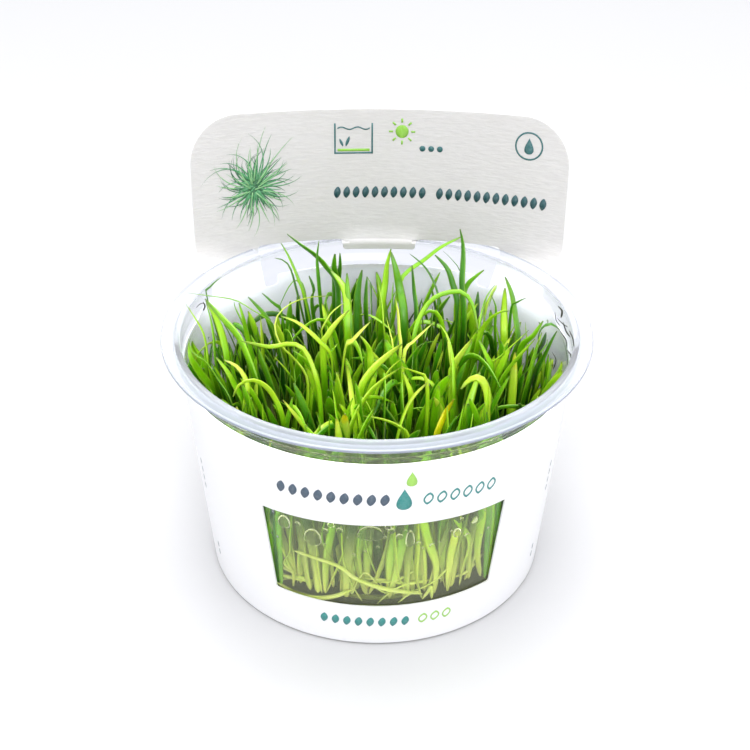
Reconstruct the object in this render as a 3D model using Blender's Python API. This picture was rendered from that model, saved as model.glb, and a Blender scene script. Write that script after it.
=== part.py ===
"""Tissue-culture cup of Lilaeopsis brasiliensis.

A clear plastic cup holds a layer of nutrient gel with a dense turf of small grass-like
plantlets on it. A one-piece card sleeve wraps the cup, with a window at the front and a
header panel at the back, whose slot is pushed over the cup's rim.

Metres, +Z up. The origin is the middle of the cup's underside. The front, with the
window, is at -Y, and the header panel stands up at +Y.
"""
import math
import random

import bpy

# Driving dimensions of the cup
CUP_HEIGHT = 0.0617
RIM_RADIUS = 0.0500
MOUTH_RADIUS = 0.0455
BASE_RADIUS = 0.0403
SHOULDER_RADIUS = 0.0452
SHOULDER_Z = 0.0552
WALL = 0.0007
FLOOR = 0.0010
BASE_ROUNDING = 0.0009
AROUND = 48

# Driving dimensions of the card sleeve
CARD = 0.00045
CLEARANCE = 0.0003
SLEEVE_FOOT = 0.0004
SLEEVE_TOP = 0.0550
PANEL_TOP = 0.0960
PANEL_HALF_WIDTH = 0.0490
PANEL_CORNER = 0.0120
PANEL_CENTRE_Y = 0.0455
PANEL_LOW_CURVE = 0.0950
PANEL_HIGH_CURVE = 0.1370
FLARE_START = 0.0505
FLARE_END_INSIDE = 0.0600
FLARE_END_OUTSIDE = 0.0650
FLARE_FADE = 0.0130
SLOT_HALF_WIDTH = 0.0316
SLOT_FOOT = 0.0540
SLOT_TOP = 0.0621
NOTCH_WIDTH = 0.0040
NOTCH_FOOT = 0.0518
TAB_HALF_WIDTH = 0.0094
TAB_DROP = 0.0022
TAB_INSET = 0.0014

# The window in the sleeve, as angles from the front
WINDOW_TURN = math.radians(3.0)
WINDOW_HALF_TOP = math.radians(37.5)
WINDOW_HALF_FOOT = math.radians(35.6)
WINDOW_FOOT = 0.0124
WINDOW_TOP = 0.0371
WINDOW_BOW = 0.0007

# Driving dimensions of the planting
GEL_TOP = 0.0115
TURF_TOP = 0.0620
RING_STEP = 0.0114
RINGS = 4
PLANTS_PER_RING = 6
CROWN_RADIUS = 0.0029
CROWN_HEIGHT = 0.0030
LEAVES = 6
LEAF_WIDTH = 0.0026
LEAF_THICKNESS = 0.0014
LEAF_TIP_LOW = 0.0530
LEAF_TIP_HIGH = 0.0640
LEAF_TIP_TALL = 0.0720
LEAF_REACH_LOW = 0.0010
LEAF_REACH_HIGH = 0.0034
TALL_SHARE = 0.10
SPREAD = 0.10
RIPPLE = 0.0032
RIPPLE_LENGTH = 0.0440
SEED = 11


def smooth(t):
    """Eases from 0 to 1 as t goes from 0 to 1."""
    t = min(1.0, max(0.0, t))
    return t * t * (3.0 - 2.0 * t)


def mix(a, b, t):
    return a + (b - a) * t


def material(name, colour, roughness, alpha=1.0, transmission=0.0, ior=1.45):
    """A plain finish: colour, roughness and, for clear pieces, how much light passes."""
    made = bpy.data.materials.new(name)
    made.use_nodes = True
    shader = made.node_tree.nodes["Principled BSDF"]
    shader.inputs["Base Color"].default_value = (*colour, 1.0)
    shader.inputs["Roughness"].default_value = roughness
    shader.inputs["Metallic"].default_value = 0.0
    shader.inputs["Alpha"].default_value = alpha
    shader.inputs["Transmission Weight"].default_value = transmission
    shader.inputs["IOR"].default_value = ior
    made.diffuse_color = (*colour, alpha)
    return made


def add_object(name, points, faces, finish, sharp_angle=math.radians(35)):
    """One named, closed piece from its corner points and faces."""
    mesh = bpy.data.meshes.new(name)
    mesh.from_pydata([tuple(p) for p in points], [], faces)
    mesh.validate()
    mesh.materials.append(finish)
    mesh.shade_smooth()
    mesh.set_sharp_from_angle(angle=sharp_angle)
    piece = bpy.data.objects.new(name, mesh)
    bpy.context.scene.collection.objects.link(piece)
    return piece


def turned(name, profile, finish):
    """A closed turned piece. The profile runs from the axis underneath, up the outside and
    back to the axis above; its first and last points lie on the axis."""
    points = [(0.0, 0.0, profile[0][1])]
    for radius, z in profile[1:-1]:
        for k in range(AROUND):
            turn = 2.0 * math.pi * k / AROUND
            points.append((radius * math.sin(turn), radius * math.cos(turn), z))
    points.append((0.0, 0.0, profile[-1][1]))
    last = len(points) - 1
    rings = len(profile) - 2
    faces = []
    for k in range(AROUND):
        after = (k + 1) % AROUND
        faces.append((0, 1 + k, 1 + after))
        for ring in range(rings - 1):
            low = 1 + ring * AROUND
            high = low + AROUND
            faces.append((low + after, low + k, high + k, high + after))
        top = 1 + (rings - 1) * AROUND
        faces.append((last, top + after, top + k))
    return add_object(name, points, faces, finish)


def wall_radius(z):
    """Outer radius of the cup's tapered wall at height z."""
    return mix(BASE_RADIUS, SHOULDER_RADIUS, z / SHOULDER_Z)


def build_cup(finish):
    """The moulded cup: flat base, tapered wall, stacking shoulder and flanged rim."""
    neck = MOUTH_RADIUS + WALL
    flange_under = CUP_HEIGHT - 0.0015
    flange_upper = CUP_HEIGHT - 0.0008
    floor_radius = wall_radius(FLOOR) - WALL
    profile = [
        (0.0, 0.0),
        (BASE_RADIUS - BASE_ROUNDING, 0.0),
        (BASE_RADIUS, BASE_ROUNDING),
        (SHOULDER_RADIUS, SHOULDER_Z),
        (neck, SHOULDER_Z + 0.0013),
        (neck, flange_under),
        (RIM_RADIUS - 0.0007, flange_under),
        (RIM_RADIUS, flange_under + 0.0004),
        (RIM_RADIUS, CUP_HEIGHT - 0.0005),
        (RIM_RADIUS - 0.0006, CUP_HEIGHT - 0.0001),
        (RIM_RADIUS - 0.0011, flange_upper + 0.0001),
        (MOUTH_RADIUS + 0.0018, flange_upper),
        (MOUTH_RADIUS + 0.0013, CUP_HEIGHT - 0.0002),
        (MOUTH_RADIUS + 0.0007, CUP_HEIGHT),
        (MOUTH_RADIUS + 0.0001, CUP_HEIGHT - 0.0003),
        (MOUTH_RADIUS, flange_upper),
        (MOUTH_RADIUS, SHOULDER_Z + 0.0016),
        (SHOULDER_RADIUS - WALL, SHOULDER_Z + 0.0002),
        (floor_radius, FLOOR + 0.0008),
        (floor_radius - 0.0008, FLOOR),
        (0.0, FLOOR),
    ]
    return turned("cup", profile, finish)


def build_gel(finish):
    """The clear nutrient gel, cast in the bottom of the cup."""
    low = FLOOR + CLEARANCE
    rim_low = wall_radius(low + 0.0008) - WALL - CLEARANCE
    rim_high = wall_radius(GEL_TOP) - WALL - CLEARANCE
    profile = [
        (0.0, low),
        (rim_low - 0.0008, low),
        (rim_low, low + 0.0008),
        (rim_high, GEL_TOP),
        (0.0, GEL_TOP),
    ]
    return turned("gel", profile, finish)


def sleeve_radius(z):
    """Outer radius of the wrapped sleeve, a card and a clearance outside the cup's wall."""
    return wall_radius(min(z, SHOULDER_Z)) + CLEARANCE + CARD


def wrap_radius():
    """The radius at which distances along the card are measured."""
    return sleeve_radius(SLEEVE_TOP)


def sleeve_point(along, z, inset):
    """A point of the card sheet, `along` it from the middle of the back, at height z.

    Low down the sheet is the wrapped cone. Above, it flares back into the header panel,
    which is curved much less, so its two legs pass outside the rim."""
    turn = along / wrap_radius()
    radius = sleeve_radius(z) - inset
    wrapped = (radius * math.sin(turn), radius * math.cos(turn))
    rise = (z - SLOT_TOP) / (PANEL_TOP - SLOT_TOP)
    curve = mix(PANEL_LOW_CURVE, PANEL_HIGH_CURVE, min(1.0, max(0.0, rise)))
    bend = along / curve
    panel = (
        (curve - inset) * math.sin(bend),
        PANEL_CENTRE_Y - curve + (curve - inset) * math.cos(bend),
    )
    outward = smooth((abs(along) - SLOT_HALF_WIDTH) / (PANEL_HALF_WIDTH - SLOT_HALF_WIDTH))
    flare_end = mix(FLARE_END_INSIDE, FLARE_END_OUTSIDE, outward)
    flare = smooth((z - FLARE_START) / (flare_end - FLARE_START))
    flare *= 1.0 - smooth((abs(along) - PANEL_HALF_WIDTH) / FLARE_FADE)
    return (mix(wrapped[0], panel[0], flare), mix(wrapped[1], panel[1], flare), z)


def panel_top(along):
    """Height of the header panel's top edge, which is rounded at both corners."""
    over = abs(along) - (PANEL_HALF_WIDTH - PANEL_CORNER)
    if over <= 0.0:
        return PANEL_TOP
    return PANEL_TOP - PANEL_CORNER + math.sqrt(max(0.0, PANEL_CORNER ** 2 - over ** 2))


def window_side(sign, z):
    """Distance along the card of a slanting side of the window, at height z."""
    t = (z - WINDOW_FOOT) / (WINDOW_TOP - WINDOW_FOOT)
    half = mix(WINDOW_HALF_FOOT, WINDOW_HALF_TOP, t)
    turn = math.pi - WINDOW_TURN + sign * half
    return turn * wrap_radius()


def sleeve_columns():
    """Distances along the card of its columns, once round from the middle of the back.

    Each column is (distance, kind). The kinds mark the edges of the slot, its notches and
    tab, the panel's side and the window's sides."""
    half_turn = math.pi * wrap_radius()
    edge = PANEL_HALF_WIDTH
    notch = SLOT_HALF_WIDTH - NOTCH_WIDTH
    corner = edge - PANEL_CORNER
    back = [0.0, TAB_HALF_WIDTH, 0.5 * (TAB_HALF_WIDTH + notch), notch, SLOT_HALF_WIDTH]
    back += [corner + PANEL_CORNER * math.sin(math.radians(a)) for a in (0, 27, 48, 67, 80, 90)]
    flank = [edge + FLARE_FADE * t for t in (0.3, 0.65, 1.0)]
    flank += [edge + FLARE_FADE + 0.0060 * k for k in range(1, 10)]
    right = sorted(set(back + flank))
    left = [2.0 * half_turn - a for a in right if a > 0.0]
    window_right = window_side(-1, WINDOW_TOP)
    window_left = window_side(1, WINDOW_TOP)
    right = [a for a in right if a < window_right - 0.003]
    left = [a for a in left if a > window_left + 0.003]
    steps = 12
    front = [mix(window_right, window_left, k / steps) for k in range(steps + 1)]
    return right + front + sorted(left)


def signed(along):
    """The same distance, measured either way from the middle of the back."""
    full = 2.0 * math.pi * wrap_radius()
    return along - full if along > 0.5 * full else along


def build_sleeve(finish):
    """The card sleeve with its window, slot, tab, notches and header panel, as one sheet."""
    columns = sleeve_columns()
    rows = [SLEEVE_FOOT, WINDOW_FOOT, WINDOW_TOP, NOTCH_FOOT, SLOT_FOOT, SLEEVE_TOP]
    tab_foot = SLOT_TOP - TAB_DROP
    rows += [0.5 * (SLEEVE_TOP + tab_foot), tab_foot, SLOT_TOP, FLARE_END_OUTSIDE]
    rows += [0.5 * (FLARE_END_OUTSIDE + PANEL_TOP - PANEL_CORNER)]
    rows += [PANEL_TOP - PANEL_CORNER, PANEL_TOP]
    window_right = window_side(-1, WINDOW_TOP)
    window_left = window_side(1, WINDOW_TOP)
    window_span = window_left - window_right

    def corner_point(i, j, inset):
        along = columns[i]
        z = rows[j]
        if window_right - 1e-9 <= along <= window_left + 1e-9:
            t = (along - window_right) / window_span
            if j in (1, 2):
                along = mix(window_side(-1, z), window_side(1, z), t)
            if j == 2:
                z += WINDOW_BOW * math.sin(math.pi * t)
        along = signed(along)
        if j == len(rows) - 1:
            z = max(rows[j - 1] + 0.0002, panel_top(along))
        point = sleeve_point(along, z, inset)
        if z < SLOT_TOP - 1e-9 and tab_foot <= z + 1e-9 and abs(along) <= TAB_HALF_WIDTH + 1e-9:
            point = (point[0], point[1] - TAB_INSET, z)
        return point

    def is_card(i, j):
        """Whether the cell between columns i and i + 1 and rows j and j + 1 is card."""
        after = columns[(i + 1) % len(columns)]
        middle = 0.5 * (columns[i] + (after if after > 0.0 else 2.0 * math.pi * wrap_radius()))
        in_window = window_right < middle < window_left
        offset = abs(signed(middle))
        z = 0.5 * (rows[j] + rows[j + 1])
        if z < SLEEVE_TOP:
            if WINDOW_FOOT < z < WINDOW_TOP and in_window:
                return False
            if z > SLOT_FOOT and offset < SLOT_HALF_WIDTH:
                return False
            notch = SLOT_HALF_WIDTH - NOTCH_WIDTH
            return not (z > NOTCH_FOOT and notch < offset < SLOT_HALF_WIDTH)
        if offset > PANEL_HALF_WIDTH:
            return False
        if z < SLOT_TOP and offset < SLOT_HALF_WIDTH:
            return z > tab_foot and offset < TAB_HALF_WIDTH
        return True

    return thick_sheet("sleeve", len(columns), len(rows), corner_point, is_card, finish)


def thick_sheet(name, column_count, row_count, corner_point, is_card, finish):
    """A sheet wrapped once round, of the cells that are card, with its cut edges closed.

    Row numbers rise with z and column numbers go clockwise seen from above."""
    points = []
    numbers = {}

    def corner(i, j, side):
        key = (i % column_count, j, side)
        if key not in numbers:
            numbers[key] = len(points)
            points.append(corner_point(key[0], j, CARD * side))
        return numbers[key]

    cells = {
        (i, j) for i in range(column_count) for j in range(row_count - 1) if is_card(i, j)
    }
    faces = []
    for i, j in sorted(cells):
        ring = [(i, j), (i, j + 1), (i + 1, j + 1), (i + 1, j)]
        faces.append([corner(a, b, 0) for a, b in ring])
        faces.append([corner(a, b, 1) for a, b in reversed(ring)])
        beside = [(i - 1, j), (i, j + 1), (i + 1, j), (i, j - 1)]
        for k, (a, b) in enumerate(beside):
            if (a % column_count, b) in cells:
                continue
            start = ring[k]
            end = ring[(k + 1) % 4]
            faces.append((corner(*end, 0), corner(*start, 0), corner(*start, 1), corner(*end, 1)))
    return add_object(name, points, faces, finish)


def sway(point):
    """Leans and ripples the whole turf together, more with height and less near the wall."""
    x, y, z = point
    rise = max(0.0, z - GEL_TOP) / (TURF_TOP - GEL_TOP)
    open_share = max(0.0, 1.0 - (math.hypot(x, y) / 0.0430) ** 4)
    wave = 2.0 * math.pi / RIPPLE_LENGTH
    amount = RIPPLE * rise ** 2 * open_share
    swell = 1.0 + SPREAD * rise
    return (
        x * swell + amount * math.sin(wave * y + 0.8),
        y * swell + amount * math.cos(wave * (x + 0.4 * y)) - 0.5 * amount,
        z,
    )


def leaf_rings(centre, heading, tip_z, reach):
    """Three-cornered sections up one leaf, and its tip, from the crown outwards and up."""
    out = (math.sin(heading), math.cos(heading))
    side = (math.cos(heading), -math.sin(heading))
    foot = GEL_TOP + CLEARANCE + CROWN_HEIGHT
    rings = []
    for share, width in ((0.0, 0.82), (0.42, 1.0), (0.78, 0.80)):
        distance = 0.62 * CROWN_RADIUS + reach * share ** 1.7
        z = mix(foot, tip_z, share)
        half = 0.5 * LEAF_WIDTH * width
        depth = LEAF_THICKNESS * width
        ring = []
        for across, inward in ((-half, -0.4 * depth), (half, -0.4 * depth), (0.0, 0.6 * depth)):
            away = distance - inward
            ring.append((
                centre[0] + out[0] * away + side[0] * across,
                centre[1] + out[1] * away + side[1] * across,
                z,
            ))
        rings.append(ring)
    away = 0.62 * CROWN_RADIUS + reach
    tip = (centre[0] + out[0] * away, centre[1] + out[1] * away, tip_z)
    return rings, tip


def build_plantlet(name, centre, rng, finish):
    """One plantlet: a short crown on the gel and six narrow leaves, grown as one piece."""
    foot = GEL_TOP + CLEARANCE
    start = rng.uniform(0.0, 2.0 * math.pi)
    points = [(centre[0], centre[1], foot), (centre[0], centre[1], foot + CROWN_HEIGHT)]
    corners = []
    for k in range(LEAVES):
        turn = start + 2.0 * math.pi * (k - 0.5) / LEAVES
        at = (centre[0] + CROWN_RADIUS * math.sin(turn), centre[1] + CROWN_RADIUS * math.cos(turn))
        corners.append(len(points))
        points.append((*at, foot))
        points.append((*at, foot + CROWN_HEIGHT))
    faces = []
    for k in range(LEAVES):
        low = corners[k]
        low_next = corners[(k + 1) % LEAVES]
        high = low + 1
        high_next = low_next + 1
        faces.append((0, low, low_next))
        faces.append((low, high, high_next, low_next))
        heading = start + 2.0 * math.pi * k / LEAVES
        tip_z = rng.uniform(LEAF_TIP_LOW, LEAF_TIP_HIGH)
        if rng.random() < TALL_SHARE:
            tip_z = rng.uniform(LEAF_TIP_HIGH, LEAF_TIP_TALL)
        reach = rng.uniform(LEAF_REACH_LOW, LEAF_REACH_HIGH)
        rings, tip = leaf_rings(centre, heading, tip_z, reach)
        first = len(points)
        for ring in rings:
            points.extend(ring)
        points.append(tip)
        left, right, inner = first, first + 1, first + 2
        faces.append((high, left, right, high_next))
        faces.append((high_next, right, inner, 1))
        faces.append((1, inner, left, high))
        for level in range(len(rings) - 1):
            base = first + 3 * level
            for a, b in ((0, 1), (1, 2), (2, 0)):
                faces.append((base + a, base + 3 + a, base + 3 + b, base + b))
        top = first + 3 * (len(rings) - 1)
        point = first + 3 * len(rings)
        for a, b in ((0, 1), (1, 2), (2, 0)):
            faces.append((top + a, point, top + b))
    moved = [sway(p) for p in points]
    return add_object(name, moved, faces, finish, math.radians(70))


def plant_centres():
    """Places of the plantlets: one in the middle and six more on each ring outwards."""
    centres = [(0.0, 0.0)]
    for ring in range(1, RINGS):
        count = PLANTS_PER_RING * ring
        for k in range(count):
            turn = 2.0 * math.pi * (k + 0.5 * ring) / count
            centres.append((
                ring * RING_STEP * math.sin(turn),
                ring * RING_STEP * math.cos(turn),
            ))
    return centres


def build_turf(finish):
    """All the plantlets, numbered from the middle of the cup outwards."""
    rng = random.Random(SEED)
    for number, centre in enumerate(plant_centres(), start=1):
        build_plantlet(f"plantlet_{number:02d}", centre, rng, finish)


def clear_scene():
    for old in list(bpy.data.objects):
        bpy.data.objects.remove(old, do_unlink=True)


def main():
    clear_scene()
    clear_plastic = material("clear polypropylene", (0.93, 0.95, 0.96), 0.08, 0.35, 1.0, 1.49)
    card = material("white card", (0.90, 0.90, 0.89), 0.55)
    gel = material("nutrient gel", (0.86, 0.87, 0.80), 0.10, 0.6, 0.9, 1.34)
    leaf = material("fresh leaf", (0.16, 0.42, 0.03), 0.42)
    build_cup(clear_plastic)
    build_sleeve(card)
    build_gel(gel)
    build_turf(leaf)


main()
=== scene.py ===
"""Looks of a tissue-culture cup of Lilaeopsis brasiliensis.

A clear polypropylene cup with a flanged rim, a white card sleeve with a window and a header
panel, nutrient gel in the bottom, and a dense turf of narrow leaves. Metres, +Z up. The
origin is the middle of the cup's underside, and the front, with the window, is at -Y.
"""

import math
import random
from collections import namedtuple

import bmesh
import bpy
from mathutils import Matrix, Vector
from mathutils.geometry import tessellate_polygon


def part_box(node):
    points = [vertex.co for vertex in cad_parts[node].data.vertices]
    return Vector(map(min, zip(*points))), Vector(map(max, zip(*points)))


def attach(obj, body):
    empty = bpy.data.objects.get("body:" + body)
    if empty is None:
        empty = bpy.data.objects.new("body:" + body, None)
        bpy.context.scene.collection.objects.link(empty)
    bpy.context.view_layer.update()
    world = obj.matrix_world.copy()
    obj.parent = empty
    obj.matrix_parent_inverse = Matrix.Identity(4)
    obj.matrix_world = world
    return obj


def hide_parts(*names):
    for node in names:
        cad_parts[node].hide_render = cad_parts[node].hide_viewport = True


MM = 0.001

# The camera, worked out from the rim, the foot of the sleeve and the corners of the window
VIEW_DISTANCE = 350 * MM
VIEW_ELEVATION = math.radians(39.29)
VIEW_PITCH = math.radians(32.69)
VIEW_YAW = math.radians(-0.08)
VIEW_ROLL = math.radians(0.34)
FOCAL_PIXELS = 1350.1
PHOTO_PIXELS = 750
SENSOR_WIDTH = 36.0

# The frame, and the sizes that it gives
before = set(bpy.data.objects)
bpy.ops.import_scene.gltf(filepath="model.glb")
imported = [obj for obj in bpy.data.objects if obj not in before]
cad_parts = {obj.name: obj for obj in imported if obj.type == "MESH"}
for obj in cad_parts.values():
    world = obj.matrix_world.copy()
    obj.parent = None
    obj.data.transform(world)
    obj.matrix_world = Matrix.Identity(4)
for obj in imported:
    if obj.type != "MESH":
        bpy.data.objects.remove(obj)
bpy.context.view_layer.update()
CUP_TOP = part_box("cup")[1].z
RIM_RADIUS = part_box("cup")[1].x
SLEEVE_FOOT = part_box("sleeve")[0].z
PANEL_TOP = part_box("sleeve")[1].z
GEL_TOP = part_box("gel")[1].z

# The cup's other sizes
MOUTH_RADIUS = 45.5 * MM
BASE_RADIUS = 40.3 * MM
SHOULDER_RADIUS = 45.2 * MM
SHOULDER_Z = 55.2 * MM
CUP_WALL = 0.7 * MM
CUP_FLOOR = 1.0 * MM
CUP_STEPS = 240

# How milky the plastic is at the rim's front and back, and in the plain field of the window. The extra
# milk at the rim's front is painted light, and the milk in the plain field is a painted reflection.
RIM_FOOT = CUP_TOP - 2.6 * MM
RIM_MILK = 0.42
RIM_MILK_BACK = 0.16
FIELD_MIDDLE = 2.1 * MM
FIELD_HALF = 23.8 * MM
FIELD_PAINTED_REFLECTION = 0.055

# The card sleeve
CARD = 0.45 * MM
CLEARANCE = 0.3 * MM
SLEEVE_TOP = 55.0 * MM
PANEL_HALF_WIDTH = 48.0 * MM
PANEL_CORNER = 12.0 * MM
PANEL_FILLET = 1.6 * MM
PANEL_CENTRE_Y = 43.7 * MM
PANEL_LEAN = 4.1 * MM
PANEL_ASIDE = 0.4 * MM
PANEL_LOW_CURVE = 110.0 * MM
PANEL_HIGH_CURVE = 150.0 * MM
FLARE_START = 50.5 * MM
FLARE_END_INSIDE = 60.0 * MM
FLARE_END_OUTSIDE = 65.0 * MM
FLARE_FADE = 13.0 * MM
SLOT_HALF_WIDTH = 31.6 * MM
SLOT_FOOT = 54.0 * MM
SLOT_TOP = 62.1 * MM
SLOT_CORNER = 1.1 * MM
NOTCH_WIDTH = 4.0 * MM
NOTCH_FOOT = 51.8 * MM
TAB_HALF_WIDTH = 9.4 * MM
TAB_DROP = 2.2 * MM
TAB_INSET = 1.4 * MM
SEAM_TURN = math.radians(-112)
WINDOW_TURN = math.radians(3.0)
WINDOW_HALF_TOP = math.radians(37.5)
WINDOW_HALF_FOOT = math.radians(35.6)
WINDOW_FOOT = 12.4 * MM
WINDOW_TOP = 37.1 * MM
WINDOW_BOW = 0.7 * MM
WINDOW_CORNER = 0.5 * MM

# The printing: a film of ink, and the rise of each shape over the one before, in films
INK_FILM = 0.03 * MM
SHAPE_STEP = 0.017
INK_LINE = 0.42 * MM
OVAL_LINE = 0.36 * MM

# The planting
CROWN_HEIGHT = 3.0 * MM
CROWN_SPREAD = 3.4 * MM
RING_STEP = 11.4 * MM
LEAVES_PER_PLANTLET = 18
WALL_LEAVES = 9
TURF_SPREAD = 0.10
TIP_LOW = 44.0 * MM
TIP_RISE = 14.0 * MM
ARCHING_SHARE = 0.09
# Tone added to the window's leaves, which offsets the painted depth shade of the leaf tissue.
WINDOW_SHADE_LIFT = 0.30
WINDOW_REACH = 9.0 * MM
CROWN_PULL = 0.92
BACK_DROP = 4.0 * MM
WALL_GAP = 0.9 * MM
SEED = 5

# The rows of leaves in the window's depth and at its ends, in columns and rows of the photo
BACKING_LEAVES = 22
BACKING_COLUMNS = (266, 502)
BACKING_ROWS = (592, 560, 515)
STRIP_LEAVES = 8
STRIP_MIDDLE = 383
STRIP_FOOT_START, STRIP_FOOT_STEP = 101, 2.3
STRIP_HEAD_START, STRIP_HEAD_STEP = 105, 3.1
STRIP_ROWS = (586, 552, 508)


def smooth(t):
    """Eases from 0 to 1 as t goes from 0 to 1."""
    t = min(1.0, max(0.0, t))
    return t * t * (3.0 - 2.0 * t)


def mix(a, b, t):
    return a + (b - a) * t


def linear(hex_colour):
    """A linear RGBA colour from an sRGB hex value."""
    channels = [int(hex_colour[i:i + 2], 16) / 255.0 for i in (1, 3, 5)]
    return (*[c / 12.92 if c <= 0.04045 else ((c + 0.055) / 1.055) ** 2.4 for c in channels], 1.0)


# Camera, floor and light


def view_axes():
    """Where the camera stands, and its forward, right and up directions."""
    place = Vector((
        0.0,
        -VIEW_DISTANCE * math.cos(VIEW_ELEVATION),
        VIEW_DISTANCE * math.sin(VIEW_ELEVATION),
    ))
    forward = Vector((
        math.sin(VIEW_YAW) * math.cos(VIEW_PITCH),
        math.cos(VIEW_YAW) * math.cos(VIEW_PITCH),
        -math.sin(VIEW_PITCH),
    ))
    level_right = forward.cross(Vector((0.0, 0.0, 1.0))).normalized()
    level_up = level_right.cross(forward)
    right = level_right * math.cos(VIEW_ROLL) + level_up * math.sin(VIEW_ROLL)
    up = level_up * math.cos(VIEW_ROLL) - level_right * math.sin(VIEW_ROLL)
    return place, forward, right, up


def sight(column, row):
    """The camera's place, and the way in which it sees the photo's column and row."""
    place, forward, right, up = view_axes()
    middle = 0.5 * PHOTO_PIXELS
    ray = forward + right * ((column - middle) / FOCAL_PIXELS) - up * ((row - middle) / FOCAL_PIXELS)
    return place, ray


def seen_at(column, row, height):
    """The point at a height above the table that the photo shows at a column and row."""
    place, ray = sight(column, row)
    return place + ray * ((height - place.z) / ray.z)


def seen_on_wall(column, row, depth, side=-1):
    """The point inside the cup's wall, by a depth, that the photo shows at a column and row: on
    its front wall, or for a side of 1 on the far wall."""
    place, ray = sight(column, row)
    taper = (SHOULDER_RADIUS - BASE_RADIUS) / SHOULDER_Z
    foot = BASE_RADIUS - CUP_WALL - depth + taper * place.z
    a = ray.x ** 2 + ray.y ** 2 - (taper * ray.z) ** 2
    b = 2.0 * (place.x * ray.x + place.y * ray.y - taper * ray.z * foot)
    c = place.x ** 2 + place.y ** 2 - foot ** 2
    return place + ray * ((-b + side * math.sqrt(max(0.0, b * b - 4.0 * a * c))) / (2.0 * a))


def make_camera():
    data = bpy.data.cameras.new("camera")
    data.sensor_width = SENSOR_WIDTH
    data.lens = SENSOR_WIDTH * FOCAL_PIXELS / PHOTO_PIXELS
    data.clip_start = 0.01
    data.clip_end = 20.0
    camera = bpy.data.objects.new("camera", data)
    place, forward, right, up = view_axes()
    camera.matrix_world = Matrix.Translation(place) @ Matrix((right, up, -forward)).transposed().to_4x4()
    bpy.context.scene.collection.objects.link(camera)
    bpy.context.scene.camera = camera


def make_floor():
    """A plain white table top."""
    mesh = bpy.data.meshes.new("table_top")
    half = 3.0
    corners = [(-half, -half, 0.0), (half, -half, 0.0), (half, half, 0.0), (-half, half, 0.0)]
    mesh.from_pydata(corners, [], [(0, 1, 2, 3)])
    floor = bpy.data.objects.new("table_top", mesh)
    bpy.context.scene.collection.objects.link(floor)
    mesh.materials.append(new_material(
        "white table laminate",
        {"Base Color": linear("#cccccd"), "Roughness": 0.6, "Specular IOR Level": 0.2},
    ))


def make_light(name, place, size, power, aim=(0.0, 0.0, 0.03)):
    """A large soft square light that faces the cup."""
    data = bpy.data.lights.new(name, "AREA")
    data.shape = "SQUARE"
    data.size = size
    data.energy = power
    light = bpy.data.objects.new(name, data)
    light.location = place
    light.rotation_euler = (Vector(aim) - Vector(place)).to_track_quat("-Z", "Y").to_euler()
    bpy.context.scene.collection.objects.link(light)


def light_scene():
    """A white light tent: even light from all round, a broad key softbox over the cup, and a
    weak one in front. It is bright enough that most of the white goes pure."""
    world = bpy.data.worlds.new("studio")
    world.use_nodes = True
    fill(world.node_tree.nodes["Background"], {"Color": linear("#fbfcff"), "Strength": 0.95})
    bpy.context.scene.world = world
    make_light("softbox over", (-0.03, 0.02, 1.35), 0.80, 15.0)
    make_light("softbox front", (0.18, -1.30, 0.62), 0.70, 6.5)
    settings = bpy.context.scene.view_settings
    settings.view_transform = "Standard"
    settings.look = "None"
    settings.exposure = 0.0


# Materials


def fill(node, inputs):
    """Sets a node's inputs. One that is given a node or a socket is linked to it."""
    for name, value in inputs.items():
        if isinstance(value, bpy.types.Node):
            value = value.outputs[0]
        if isinstance(value, bpy.types.NodeSocket):
            node.id_data.links.new(value, node.inputs[name])
        else:
            node.inputs[name].default_value = value


def new_material(name, inputs=None):
    """A material whose shader has the given inputs."""
    material = bpy.data.materials.new(name)
    material.use_nodes = True
    fill(principled(material), inputs or {})
    return material


def principled(material):
    return material.node_tree.nodes["Principled BSDF"]


# Sockets of a colour Mix node
SHARE, COLOUR_A, COLOUR_B, COLOUR_OUT = 0, 6, 7, 2


def add_node(tree, kind, inputs=None, **settings):
    """Adds one node with its settings, and fills its inputs."""
    made = tree.nodes.new(kind)
    for name, value in settings.items():
        setattr(made, name, value)
    fill(made, inputs or {})
    return made


def set_ramp(ramp, stops):
    """Sets a colour ramp's stops from (place, linear colour) pairs."""
    elements = ramp.color_ramp.elements
    while len(elements) > len(stops):
        elements.remove(elements[-1])
    while len(elements) < len(stops):
        elements.new(1.0)
    for element, (place, colour) in zip(elements, stops):
        element.position = place
        element.color = colour


def let_lamps_through(material, share):
    """Lamps shine straight through a thin clear wall, as they do in life, by this share."""
    tree = material.node_tree
    path = add_node(tree, "ShaderNodeLightPath")
    amount = add_node(
        tree, "ShaderNodeMath", {0: path.outputs["Is Shadow Ray"], 1: share}, operation="MULTIPLY",
    )
    clear = add_node(tree, "ShaderNodeBsdfTransparent")
    mixed = add_node(tree, "ShaderNodeMixShader", {0: amount, 1: principled(material), 2: clear})
    fill(tree.nodes["Material Output"], {"Surface": mixed})


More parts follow.
